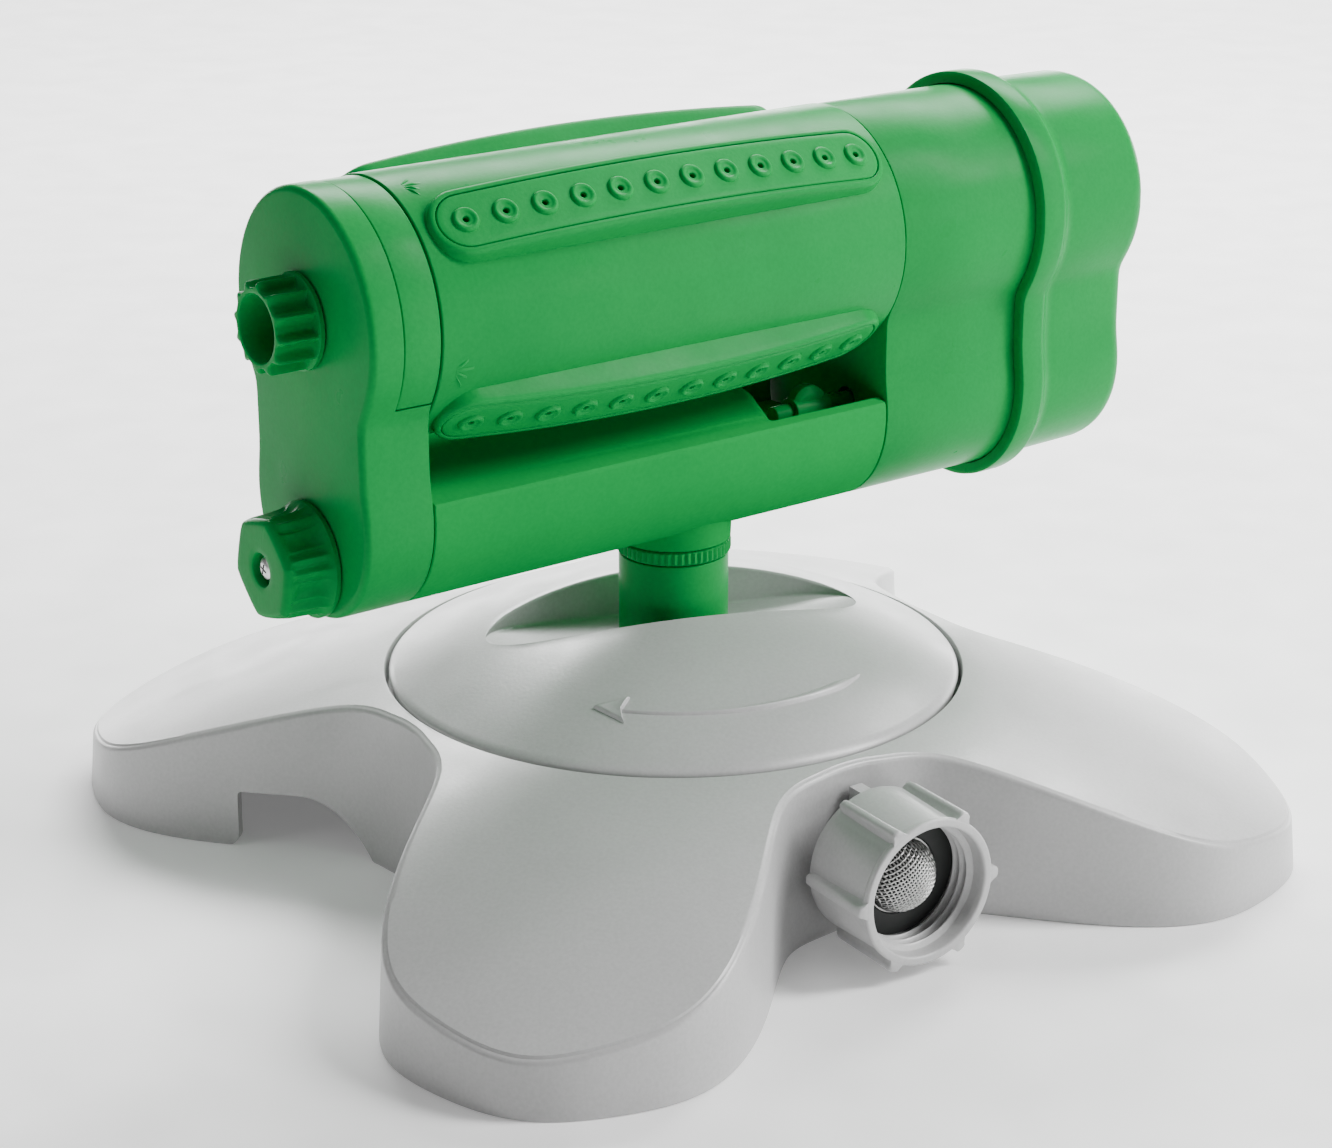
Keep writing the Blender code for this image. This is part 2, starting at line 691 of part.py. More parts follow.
def valve_and_pipes(white, black, head):
    """Fixed water parts in the head: riser clip, valve barrel, feed pipe and transfer elbow."""
    barrel = solid("valve_body", on_axis(tube(8.8, 6.9, -77.0, -55.0, 20), VALVE_Z), white, head)
    port = tool("valve_side_port", rod(2.6, -60, -35, 14), head, (-66.0, 0, 0))
    cut(barrel, port)
    feed = solid("feed_pipe", on_axis(tube(6.0, 4.4, -54.7, 48.2, 16), VALVE_Z), white, head)
    stub = tool("feed_stub", rod(4.3, -57.0, VALVE_Z + 1.3, 14), head)
    stub_bore = tool("feed_stub_bore", rod(3.0, -62.0, VALVE_Z + 0.9, 12), head)
    join(feed, stub)
    cut(feed, stub_bore)
    housing = solid("transfer_elbow", on_axis(tube(11.6, 8.5, 49.6, 58.0, 22)), white, head)
    drop = tool("transfer_drop", rod(4.2, -25.4, -9.5, 14), head, (53.5, 0, 0))
    drop_bore = tool("transfer_bore", rod(2.8, -30.0, 0.0, 12), head, (53.5, 0, 0))
    join(housing, drop)
    cut(housing, drop_bore)
    solid("riser_clip", tube(12.6, 8.9, -59.5, -58.6, 22), white, head)


# ---- drum ----------------------------------------------------------------------------------------

def row_height(along):
    """Distance of a nozzle strip's face from the drum's axis."""
    reach = ROW_PITCH * (ROW_COUNT - 1) / 2
    return ROW_PEAK_R - ROW_DROP * ((along - ROW_CENTRE) / reach) ** 2


def stadium_rows(half_width_mm):
    """Rows of a round-ended strip that is centred on the nozzle row."""
    reach = ROW_PITCH * (ROW_COUNT - 1) / 2
    rows = []
    for step in range(5):
        angle = math.radians(90 * step / 4)
        rows.append((-reach - half_width_mm * math.cos(angle), half_width_mm * math.sin(angle)))
    for step in range(1, 7):
        rows.append((-reach + 2 * reach * step / 7, half_width_mm))
    for step in range(5):
        angle = math.radians(90 * step / 4)
        rows.append((reach + half_width_mm * math.sin(angle), half_width_mm * math.cos(angle)))
    return [(ROW_CENTRE + along, max(across, 0.0)) for along, across in rows]


def strip_turns():
    """Turns about the head's axis that carry +Z to each strip's direction."""
    return [45 + 90 * number for number in range(4)]


def drum_shell(green, drum):
    """Tube with four crowned borders, each pocketed for a nozzle strip and slotted for water."""
    shell = solid("drum_shell", on_axis(rod(DRUM_R, DRUM_START, DRUM_END, 44)), green, drum)
    borders = []
    pockets = []
    slots = []
    for turn in strip_turns():
        spin = Matrix.Rotation(math.radians(turn), 4, 'X')
        border = crowned(stadium_rows(BORDER_HALF_WIDTH), lambda along: 23.0, row_height)
        pocket = crowned(stadium_rows(STRIP_HALF_WIDTH + 0.15),
                         lambda along: row_height(along) - STRIP_THICK - GAP, lambda along: 40.0)
        slot = crowned(stadium_rows(3.4), lambda along: 15.0, lambda along: 36.0)
        borders.append(moved(border, spin))
        pockets.append(moved(pocket, spin))
        slots.append(moved(slot, spin))
    join(shell, tool("row_borders", merged(borders), drum))
    bore = on_axis(rod(DRUM_BORE, DRUM_START - 5, DRUM_END + 5, 36))
    cut(shell, tool("row_pockets", merged(pockets), drum), tool("row_slots", merged(slots), drum),
        tool("drum_bore", bore, drum))


def nozzle_strips(green, drum):
    """Four soft strips with a row of raised nozzles."""
    reach = ROW_PITCH * (ROW_COUNT - 1) / 2
    for number, turn in enumerate(strip_turns(), 1):
        plate = crowned(stadium_rows(STRIP_HALF_WIDTH), lambda along: row_height(along) - STRIP_THICK,
                        row_height)
        strip = solid(f"nozzle_strip_{number}", plate, green, drum, rotation=(turn, 0, 0))
        raised = []
        holes = []
        for place in range(ROW_COUNT):
            along = ROW_CENTRE - reach + ROW_PITCH * place
            lean = math.atan(2 * ROW_DROP * (along - ROW_CENTRE) / reach ** 2)
            seat = Matrix.Translation((along, 0, row_height(along))) @ Matrix.Rotation(lean, 4, 'Y')
            seat = seat @ Matrix.Rotation(math.radians(10), 4, 'Z')
            raised.append(moved(rod(NOZZLE_R, -0.9, NOZZLE_RISE, 6), seat))
            holes.append(moved(rod(NOZZLE_HOLE_R, -4.0, 3.0, 4), seat))
        join(strip, tool(f"nozzles_{number}", merged(raised), drum, rotation=(turn, 0, 0)))
        cut(strip, tool(f"nozzle_holes_{number}", merged(holes), drum, rotation=(turn, 0, 0)))


def drum_ends(green, white, black, drum):
    """Front and rear drum ends with their journals, seals, knob and output gear."""
    knob_face = FACE_S - DRUM_KNOB_LENGTH
    solid("drum_front_end", on_axis(turned([
        (0, -97.0), (6.0, -97.0), (6.0, FACE_S + 0.4), (6.7, FACE_S + 0.4), (6.7, -78.7),
        (12.0, -78.7), (12.0, -77.5), (24.7, -77.5), (24.7, -73.5), (0, -73.5)], 22)), green, drum)
    solid("drum_rear_end", on_axis(turned([
        (24.7, 39.2), (24.7, 43.2), (12.0, 43.3), (8.0, 43.3), (8.0, 59.0), (6.2, 59.0),
        (6.2, 79.8), (4.6, 79.8), (4.6, 39.2)], 22)), white, drum)
    solid("front_seal", on_axis(ring_seal(10.5, 0.65, -79.7)), black, drum)
    knob = solid("drum_knob", on_axis(fluted_knob(knob_face)), green, drum)
    bore = on_axis(rod(6.5, -99.0, -90.0, 18))
    cut(knob, tool("drum_knob_seat", bore, drum))
    gear = prism(gear_outline(DRUM_GEAR_TEETH, -90 + 180 / DRUM_GEAR_TEETH), 74.2, 79.0)
    drum_gear = solid("drum_gear", on_gear_axis(gear, 0.0), white, drum)
    cut(drum_gear, tool("drum_gear_bore", on_axis(rod(6.5, 60, 90, 24)), drum))


def fluted_knob(face):
    """Round knob with narrow ribs, a base flange and a deep blind bore."""
    outline = []
    steps = DRUM_KNOB_RIBS * 4
    for number in range(steps):
        angle = math.tau * number / steps
        radius = (9.8, 9.0, 8.6, 9.0)[number % 4]
        outline.append((radius, angle))

    def ring(height, offset, cap=99.0):
        return [(min(r - offset, cap) * math.cos(a), min(r - offset, cap) * math.sin(a), height)
                for r, a in outline]

    def circle(height, radius):
        return [(radius * math.cos(a), radius * math.sin(a), height) for _, a in outline]

    base = FACE_S - GAP
    return lofted([circle(base, 10.3), circle(base - 1.6, 10.3), ring(base - 1.7, 0.1),
                   ring(face + 0.8, 0.2), ring(face, 0.9), circle(face, 6.9), circle(face + 7.4, 6.6)])


def on_gear_axis(shape, height):
    """Lay a gear's outline across the head's axis with its own up pointing up."""
    basis = Matrix(((0, 0, 1, 0), (1, 0, 0, 0), (0, 1, 0, height), (0, 0, 0, 1)))
    return moved(shape, basis)


# ---- flow knob and reversing lever ---------------------------------------------------------------

def flow_knob(green, white, steel, black, axis):
    """Six-cornered knob, its screw, and the plug it turns; built about the valve's axis."""
    face = FACE_S - FLOW_KNOB_LENGTH
    steps = FLOW_KNOB_CORNERS * 4
    loops = []
    for height, base, dip in ((FACE_S - GAP, 12.4, 0.0), (FACE_S - 1.6, 12.6, 0.0),
                              (FACE_S - 2.6, 12.1, 0.8), (face + 1.6, 11.6, 1.2),
                              (face + 0.4, 11.2, 1.0), (face, 10.5, 0.9)):
        loop = []
        for number in range(steps):
            angle = math.tau * number / steps
            wave = 0.5 - 0.5 * math.cos(FLOW_KNOB_CORNERS * angle)
            radius = base - dip * wave ** 2 * 1.4
            loop.append((radius * math.cos(angle), radius * math.sin(angle), height))
        loops.append(loop)
    knob = solid("flow_knob", on_axis(lofted(loops)), green, axis)
    recess = rod(3.5, face - 3, face + 2.2, 16)
    screw_way = rod(1.4, face - 3, FACE_S + 3, 12)
    socket = rod(3.6, -98.0, FACE_S + 5, 16)
    cut(knob, tool("knob_recess", on_axis(recess), axis),
        tool("knob_screw_way", on_axis(screw_way), axis), tool("knob_socket", on_axis(socket), axis))
    solid("knob_screw", on_axis(turned([
        (0, face + 0.9), (1.6, face + 0.9), (2.1, face + 1.4), (2.1, face + 1.9), (1.1, face + 1.9),
        (1.1, -99.0), (0, -99.0)], 16)), steel, axis)
    plug = solid("valve_plug", on_axis(turned([
        (0, -97.7), (3.2, -97.7), (3.2, -76.0), (6.6, -76.0), (6.6, -58.0), (0, -58.0)], 20)), white, axis)
    water_way = on_axis(rod(3.4, -68.0, -55.0, 16))
    side_way = rod(2.4, -12.0, 12.0, 14)
    cut(plug, tool("plug_water_way", water_way, axis),
        tool("plug_side_way", side_way, axis, (-66.0, 0, 0)))
    solid("valve_seal", on_axis(ring_seal(4.4, 0.8, -79.5, 16)), black, axis)


def reverser(white, green, axis):
    """Tab in the pocket on a shaft that carries the turbine's diverter flap."""
    shaft = solid("reversing_lever", on_axis(rod(2.2, 22.0, 48.6, 16)), green, axis)
    hub = on_axis(rod(3.4, 27.0, 37.0, 18))
    blade = [(-1.6, 0.0), (1.6, 0.0), (1.3, 4.6), (-1.3, 4.6)]
    tab = along_head([(28.0, blade), (36.0, blade)])
    join(shaft, tool("lever_hub", hub, axis), tool("lever_tab", tab, axis))
    flap = [(-1.2, -9.0), (1.2, -9.0), (1.2, 3.4), (-1.2, 3.4)]
    plate = solid("diverter_flap", along_head([(49.0, flap), (51.6, flap)]), white, axis)
    return plate


# ---- turbine and gears ---------------------------------------------------------------------------

def gear_train(white, steel, head, axles):
    """Turbine, three compound gears, their axles and the plates that hold them."""
    upper, lower = axles
    bladed = []
    steps = TURBINE_BLADES * 4
    for number in range(steps):
        angle = math.tau * number / steps
        radius = 14.6 if number % 4 < 2 else 9.4
        bladed.append((radius * math.cos(angle), radius * math.sin(angle)))
    wheel = solid("turbine_wheel", on_gear_axis(prism(bladed, 53.6, 58.6), 0), white, lower)
    pinion = prism(gear_outline(PINION_TEETH, 90), 58.0, 64.6)
    join(wheel, tool("turbine_pinion", on_gear_axis(pinion, 0), lower))
    cut(wheel, tool("turbine_bore", on_axis(rod(1.65, 40, 90, 12)), lower))
    plan = (("gear_one", upper, 60.4, -82.5, -90), ("gear_two", lower, 65.0, 97.5, 90),
            ("gear_three", upper, 69.6, -82.5, 90))
    for name, axis, start, phase, pinion_phase in plan:
        last = name == "gear_three"
        disc = prism(gear_outline(WHEEL_TEETH, phase), start, start + 3.8)
        gear = solid(name, on_gear_axis(disc, 0), white, axis)
        end = 79.4 if last else start + 8.6
        pinion = prism(gear_outline(PINION_TEETH, pinion_phase), start + 3.0, end)
        join(gear, tool(name + "_pinion", on_gear_axis(pinion, 0), axis))
        cut(gear, tool(name + "_bore", on_axis(rod(1.65, 40, 90, 12)), axis))
    solid("upper_axle", on_axis(rod(1.5, 59.0, 81.4, 12), UPPER_AXLE_Z), steel, head)
    solid("lower_axle", on_axis(rod(1.5, 49.2 + 3.0, 81.4, 12), LOWER_AXLE_Z), steel, head)
    plate = solid("gear_plate", along_head([(81.0, section(WALL + 0.5)), (83.4, section(WALL + 0.5))]),
                  white, head)
    holes = [on_axis(rod(1.65, 70, 90, 12), height) for height in (UPPER_AXLE_Z, LOWER_AXLE_Z)]
    holes += [on_axis(rod(1.7, 70, 90, 10), *spot) for spot in PLATE_SCREWS]
    cut(plate, tool("gear_plate_holes", merged(holes), head))
    for number, spot in enumerate(PLATE_SCREWS, 1):
        screw = [(0, 72.0), (1.4, 72.0), (1.4, 83.7), (2.6, 83.7), (2.6, 85.6), (0, 85.6)]
        solid(f"plate_screw_{number}", on_axis(turned(screw, 10), *spot), steel, head)


def main():
    clear_scene()
    green = plastic("green_plastic", GREEN, 0.32)
    soft_green = plastic("green_nozzle", GREEN, 0.45)
    grey = plastic("grey_plastic", GREY, 0.42)
    white = plastic("white_nylon", WHITE, 0.5)
    black = plastic("black_rubber", BLACK, 0.7)
    steel = plastic("steel", STEEL, 0.3, 1.0)

    base = empty("base_frame", (0, 0, 0))
    base_shell(grey, base)
    water_inlet(grey, white, black, steel, green, base)
    disc_axis = empty("disc_axis", (0, 0, 0), parent=base)
    lock_disc(grey, disc_axis)
    nut_axis = empty("nut_axis", (0, 0, INLET_Z), (0, 90, INLET_ANGLE), base)
    hose_nut(grey, black, steel, nut_axis)

    head = empty("head_axis", (0, 0, HEAD_Z), (0, 0, HEAD_ANGLE), base)
    end_plate(green, head)
    bearing_collar(green, white, black, head)
    cradle(green, head)
    gear_housing(green, white, head)
    housing_cap(green, head)
    valve_and_pipes(white, black, head)

    drum = empty("drum_axis", (0, 0, 0), parent=head)
    drum_shell(green, drum)
    nozzle_strips(soft_green, drum)
    drum_ends(green, white, black, drum)
    flow_knob(green, white, steel, black, empty("valve_axis", (0, 0, VALVE_Z), parent=head))
    reverser(white, green, empty("lever_axis", (0, -8.0, -40.0), parent=head))
    axles = (empty("upper_gear_axis", (0, 0, UPPER_AXLE_Z), parent=head),
             empty("lower_gear_axis", (0, 0, LOWER_AXLE_Z), parent=head))
    gear_train(white, steel, head, axles)


main()
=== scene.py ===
"""Looks of the drum lawn sprinkler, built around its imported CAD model.

Shapes are written in millimetres in a local frame (world, nut, head, valve or lever), and each frame
comes from the CAD's joints. In the head's frame X runs along the head towards the cap, Y points
away from the camera side and Z is up.
"""

import json
import math
from math import cos, radians, sin

import bmesh
import bpy
from mathutils import Matrix, Vector


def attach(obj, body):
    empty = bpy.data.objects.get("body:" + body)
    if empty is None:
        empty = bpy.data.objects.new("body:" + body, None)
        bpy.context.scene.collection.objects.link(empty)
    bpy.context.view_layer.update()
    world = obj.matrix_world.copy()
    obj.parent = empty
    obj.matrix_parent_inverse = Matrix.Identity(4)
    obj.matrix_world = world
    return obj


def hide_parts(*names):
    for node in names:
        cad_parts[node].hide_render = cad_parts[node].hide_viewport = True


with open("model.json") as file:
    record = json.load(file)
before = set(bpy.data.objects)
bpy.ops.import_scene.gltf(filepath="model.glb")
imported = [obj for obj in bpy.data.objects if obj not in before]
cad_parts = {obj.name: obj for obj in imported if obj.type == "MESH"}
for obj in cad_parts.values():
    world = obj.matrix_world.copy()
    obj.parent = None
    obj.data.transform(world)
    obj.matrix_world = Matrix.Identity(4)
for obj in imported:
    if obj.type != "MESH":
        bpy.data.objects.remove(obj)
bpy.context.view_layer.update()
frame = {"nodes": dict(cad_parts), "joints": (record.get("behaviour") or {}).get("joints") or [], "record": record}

MM = 0.001
TAU = math.tau


# ---- frames and main sizes, most of them taken from the CAD ---------------------------------------

def joint(name):
    """A joint of the CAD by its name."""
    return next(item for item in frame["joints"] if item["name"] == name)


def axis_frame(origin, along):
    """Matrix, in millimetres, with X along the axis and Z up."""
    x_axis = Vector(along).normalized()
    z_axis = Vector((0, 0, 1))
    y_axis = z_axis.cross(x_axis)
    matrix = Matrix((x_axis, y_axis, z_axis)).transposed().to_4x4()
    matrix.translation = Vector(origin) / MM
    return matrix


def span(node, matrix):
    """Lowest and highest corners of a CAD node in a local frame, in millimetres."""
    back = matrix.inverted()
    points = [back @ (vertex.co / MM) for vertex in frame["nodes"][node].data.vertices]
    low = Vector([min(point[i] for point in points) for i in range(3)])
    high = Vector([max(point[i] for point in points) for i in range(3)])
    return low, high


WORLD = Matrix.Identity(4)
HEAD = axis_frame(joint("drum_swing")["pos_m"], joint("drum_swing")["axis"])
VALVE_Z = (joint("flow_turn")["pos_m"][2] - joint("drum_swing")["pos_m"][2]) / MM
VALVE = HEAD @ Matrix.Translation((0, 0, VALVE_Z))
LEVER_SPOT = HEAD.inverted() @ (Vector(joint("reverser_tilt")["pos_m"]) / MM)
LEVER = HEAD @ Matrix.Translation((0, LEVER_SPOT.y, LEVER_SPOT.z))
NUT = axis_frame((0, 0, joint("nut_spin")["pos_m"][2]), joint("nut_spin")["axis"])

DRUM_START, DRUM_END = (corner.x for corner in span("drum_shell", HEAD))
FACE_S, BLOCK_S = (corner.x for corner in span("end_plate", HEAD))
COLLAR_START, COLLAR_END = (corner.x for corner in span("bearing_collar", HEAD))
HOUSING_START, HOUSING_END = (corner.x for corner in span("gear_housing", HEAD))
FLANGE_START, CAP_END = (corner.x for corner in span("housing_cap", HEAD))
CRADLE_START, CRADLE_END = (corner.x for corner in span("cradle", HEAD))
KNOB_FACE, KNOB_BACK = (corner.x for corner in span("drum_knob", HEAD))
FLOW_FACE, FLOW_BACK = (corner.x for corner in span("flow_knob", VALVE))
NUT_BACK, NUT_FACE = (corner.x for corner in span("hose_nut", NUT))
BODY_R = span("gear_housing", HEAD)[1].z
LOWER_R = 22.7
LOWER_Z = span("gear_housing", HEAD)[0].z + LOWER_R
WAIST_HALF = 21.7
WALL = 2.6
DRUM_R = BODY_R + 0.2
STEP_Z = -15.0
DECK_Z = span("cradle", HEAD)[1].z
DECK_EDGE_Z = DECK_Z - 2.4
NECK_BASE = span("cradle", HEAD)[0].z


# ---- sizes of the details, in millimetres and degrees --------------------------------------------

DISC_R = 66.3
DISC_GAP = 0.9
RIM_Z = 39.0
RECESS_Z = 33.3
DOME_RISE = 17.7
LOBE_WAVES = (103.56, 39.95, 3.10, -4.58, -0.77, 1.80)
LOBE_FALL = (0.2022, 0.1232)
MEETING_BELLS = ((1.2, 0.0, 3.9), (-1.2, 9.3, 4.3))
EDGE_ROUND = 1.35
SKIRT_DRAFT = 1.1
ARCH_HEIGHT = 13.6
ARCH_START_X = -94.2
ARCH_BEND_X = -79.8
ARCH_FALL = 18.7
ARCH_FOOT_CUT = 3.0
ARCH_CORNER = 1.0
ARCH_DEPTH = (28.0, 62.0)
INLET_R = 10.4
SCREW_HOLE_R = 1.9
SCREW_CIRCLE_R = 21
HUB_HOLE_R = 14.0
TROUGH_TURN = radians(29.0)
TROUGH_LONG = 44.5
TROUGH_WIDE = 16.3
TROUGH_Z = 44.6
TROUGH_RISE = 4.0
TROUGH_LIP = 0.9
POST_HOLE_R = 13.0
ARROW_R = 50.4
ARROW_START = -91.0
ARROW_SWEEP = 68.0
ARROW_HEAD = ((-98.4, 50.4), (-89.8, 53.6), (-91.2, 50.3), (-90.0, 46.6))
ARROW_HEAD_MIDDLE = (-93.0, 50.3)
POST_R = 12.6
POST_FOOT_R = 17.5
POST_BORE_R = 9.0
TOOTH_COUNT = 54
TOOTH_ROOT_R = 12.75
TOOTH_HEIGHT = 0.42
POST_TOP = span("riser_post", WORLD)[1].z
RING_TOP = span("detent_ring", WORLD)[1].z

NUT_RIBS = 6
NUT_MOUTH_R = 14.35
THREAD_PITCH = 2.3
THREAD_TURNS = 3.6
THREAD_START = radians(150)
WASHER_SEAT = 10.8
SCREEN_R = 8.1
SCREEN_RISE = 6.4
WIRE_R = 0.185
WIRE_PITCH = 0.76
WIRE_TURN = radians(28)

WAIST_Z = -24
WAIST_SPREAD = 24.5
FACE_ROUND = 1.5
COLLAR_R = 27.4
COLLAR_BORE_R = 24.4
COLLAR_WEB = (-84.0, -80.6)
NECK_R = 13.1
NECK_BORE_R = 11.0
DRUM_BORE_R = 25.0

ROW_CENTRE = -17.0
ROW_PITCH = 9.22
ROW_COUNT = 12
ROW_REACH = ROW_PITCH * (ROW_COUNT - 1) / 2
ROW_PEAK_R = 32.6
ROW_DROP = 2.6
STRIP_HALF = 6.1
BORDER_HALF = 7.7
BORDER_FOOT_R = 23.0
FIRST_ROW = 45
ROWS = 4
MARK_START = -74.2
MARK_STROKES = ((-2.6, 2.6, -0.5), (0.0, 4.2, 0.0), (2.6, 2.8, 0.5), (5.4, 1.8, 0.9))

KNOB_RIBS = 12
KNOB_BORE_R = 6.5
FLOW_CORNER = 45
FLOW_PITCH = 60
TAB_RISE = 0.6
TAB_AT = 31.8


# ---- light, floor and camera, in metres ----------------------------------------------------------

SKY = 0.09
FLOOR_SIZE = 8.0
FLOOR_GLOW = 0.12
LIGHTS = (("top_box", (-0.25, -0.1, 1.2), (0.8, 0.6), 1.8),
          ("right_box", (0.85, 0.12, 0.85), (0.22, 0.7), 17.0),
          ("right_panel", (1.35, -0.1, 0.32), (1.0, 0.5), 9.0),
          ("back_low", (-0.1, 1.6, 0.2), (3.2, 0.3), 38.0),
          ("back_high", (-0.05, 0.95, 0.95), (1.3, 0.4), 42.0),
          ("left_box", (-0.95, -0.6, 0.6), (0.5, 0.6), 1.6))
LIGHT_TARGET = (0, 0, 0.08)
CAMERA_SPOT = (0.1293, -0.6248, 0.2970)
CAMERA_TARGET = (-0.0017, -0.0003, 0.0599)
CAMERA_LENS = 80.0
CAMERA_SENSOR = 36.0


# ---- materials -----------------------------------------------------------------------------------

def fill(node, **values):
    """Set a shader node's inputs. An underscore stands for a space in an input's name."""
    for name, value in values.items():
        node.inputs[name.replace("_", " ")].default_value = value


def plastic(name, colour, roughness, grain=900.0, bump=0.12, gloss=0.5, spread=0.10):
    """Moulded plastic: slow colour drift, fine grain and bump, smudges, and a painted highlight that makes convex
    edges paler.
    """
    material = bpy.data.materials.new(name)
    material.use_nodes = True
    nodes = material.node_tree.nodes
    links = material.node_tree.links
    shader = nodes["Principled BSDF"]
    fill(shader, Specular_IOR_Level=gloss)
    place = nodes.new("ShaderNodeTexCoord")

    def noise(scale, detail):
        node = nodes.new("ShaderNodeTexNoise")
        fill(node, Scale=scale, Detail=detail)
        links.new(place.outputs["Object"], node.inputs["Vector"])
        return node

    def remap(source, low, high, start=0.3, end=0.7):
        node = nodes.new("ShaderNodeMapRange")
        fill(node, From_Min=start, From_Max=end, To_Min=low, To_Max=high)
        links.new(source, node.inputs["Value"])
        return node.outputs["Result"]

    drift = noise(28.0, 3.0)
    fine = noise(grain, 2.0)
    ramp = nodes.new("ShaderNodeValToRGB")
    dark = [channel * (1 - spread) for channel in colour]
    light = [min(channel * (1 + spread), 1.0) for channel in colour]
    ramp.color_ramp.elements[0].position = 0.25
    ramp.color_ramp.elements[1].position = 0.75
    ramp.color_ramp.elements[0].color = (*dark, 1)
    ramp.color_ramp.elements[1].color = (*light, 1)
    links.new(drift.outputs["Fac"], ramp.inputs["Fac"])
    speck = nodes.new("ShaderNodeMix")
    speck.data_type = 'RGBA'
    speck.blend_type = 'MULTIPLY'
    speck.inputs["Factor"].default_value = 1.0
    shade = nodes.new("ShaderNodeCombineColor")
    for channel in ("Red", "Green", "Blue"):
        links.new(remap(fine.outputs["Fac"], 0.95, 1.05), shade.inputs[channel])
    links.new(ramp.outputs["Color"], speck.inputs["A"])
    links.new(shade.outputs["Color"], speck.inputs["B"])
    # Painted highlight: sharp convex edges, found by pointiness, are mixed up to 35% towards a paler tint of the
    # colour.
    geometry = nodes.new("ShaderNodeNewGeometry")
    edge_highlight = remap(geometry.outputs["Pointiness"], 0.0, 0.35, 0.52, 0.62)
    edge = nodes.new("ShaderNodeMix")
    edge.data_type = 'RGBA'
    links.new(edge_highlight, edge.inputs["Factor"])
    links.new(speck.outputs["Result"], edge.inputs["A"])
    pale = [channel * 1.25 + 0.01 for channel in colour]
    edge.inputs["B"].default_value = (*pale, 1)
    links.new(edge.outputs["Result"], shader.inputs["Base Color"])
    smudge = noise(90.0, 4.0)
    rough = remap(smudge.outputs["Fac"], roughness - 0.05, roughness + 0.06)
    links.new(rough, shader.inputs["Roughness"])
    relief = nodes.new("ShaderNodeBump")
    fill(relief, Strength=bump, Distance=0.0002)
    links.new(fine.outputs["Fac"], relief.inputs["Height"])
    links.new(relief.outputs["Normal"], shader.inputs["Normal"])
    return material


def metal(name, colour, roughness):
    """Bright metal with a fine grain."""
    material = plastic(name, colour, roughness, 1500.0, 0.08, 0.5, 0.06)
    fill(material.node_tree.nodes["Principled BSDF"], Metallic=1.0)
    return material


GREEN = plastic("green_plastic", (0.0, 0.23, 0.044), 0.32, 1100.0, 0.10, 0.04, 0.08)
DEEP_GREEN = plastic("green_cradle", (0.0, 0.24, 0.045), 0.5, 1100.0, 0.10, 0.0, 0.08)
SOFT_GREEN = plastic("green_strip", (0.0, 0.25, 0.048), 0.38, 1300.0, 0.14, 0.04, 0.08)
GREY = plastic("grey_plastic", (0.44, 0.44, 0.44), 0.34, 1200.0, 0.14, 0.7, 0.05)
NYLON = plastic("white_nylon", (0.72, 0.72, 0.68), 0.5, 900.0, 0.1)
RUBBER = plastic("black_rubber", (0.014, 0.016, 0.015), 0.65, 700.0, 0.2)
STEEL = metal("bright_steel", (0.62, 0.62, 0.62), 0.26)
WIRE = metal("screen_wire", (0.52, 0.52, 0.51), 0.38)
LOOKS = {"green_body": GREEN, "green_nozzle": SOFT_GREEN, "grey_base": GREY, "white_nylon": NYLON,
         "black_seal": RUBBER, "steel": STEEL}


# ---- shape tools ---------------------------------------------------------------------------------

def softened(corners, steps=4):
    """Round the corners (a, b, cut) of a closed 2-D outline, each cut back by its own length."""
    points = []
    count = len(corners)
    for i, (a, b, size) in enumerate(corners):
        here = Vector((a, b))
        if size == 0:
            points.append((a, b))
            continue
        before = Vector(corners[i - 1][:2]) - here
        after = Vector(corners[(i + 1) % count][:2]) - here
        start = here + before.normalized() * min(size, before.length * 0.49)
        end = here + after.normalized() * min(size, after.length * 0.49)
        for step in range(steps + 1):
            t = step / steps
            spot = start * (1 - t) ** 2 + here * 2 * t * (1 - t) + end * t ** 2
            points.append((spot.x, spot.y))
    return points


def lofted(loops, capped=True):
    """Skin equal loops in order. Uncapped, the last loop joins the first."""
    count = len(loops[0])
    vertices = [tuple(point) for loop in loops for point in loop]
    faces = []
    last = len(loops) - 1 if capped else len(loops)
    for row in range(last):
        here = row * count
        there = (row + 1) % len(loops) * count
        for step in range(count):
            after = (step + 1) % count
            faces.append((here + step, here + after, there + after, there + step))
    if capped:
        faces.append(tuple(range(count)))
        faces.append(tuple(range(len(vertices) - count, len(vertices))))
    return vertices, faces


def circle_points(radius, count):
    """Evenly spaced points on a circle."""
    return [(radius * cos(TAU * i / count), radius * sin(TAU * i / count)) for i in range(count)]


def turned(profile, steps=96, poles=False):
    """Turn a (radius, along) profile about X. With poles it's open, and its ends are closed by caps."""
    loops = []
    for radius, along in profile:
        loops.append([(along, y, z) for y, z in circle_points(max(radius, 0.02), steps)])
    return lofted(loops, capped=poles)


def upright(shape):
    """Stand a shape that was turned about X up on Z."""
    vertices, faces = shape
    return [(y, z, x) for x, y, z in vertices], faces


def moved(shape, matrix):
    """The shape with every corner put through the matrix."""
    vertices, faces = shape
    return [tuple(matrix @ Vector(point)) for point in vertices], faces


def merged(shapes):
    """Several shapes as one."""
    vertices = []
    faces = []
    for points, polygons in shapes:
        start = len(vertices)
        vertices += points
        faces += [[start + corner for corner in polygon] for polygon in polygons]
    return vertices, faces


def box_shape(low, high):
    """A cutter's box between two corners."""
    corners = [(low[0], low[1]), (high[0], low[1]), (high[0], high[1]), (low[0], high[1])]
    return lofted([[(x, y, z) for x, y in corners] for z in (low[2], high[2])])


def linked(name, data):
    """A new object in the scene."""
    item = bpy.data.objects.new(name, data)
    bpy.context.scene.collection.objects.link(item)
    return item


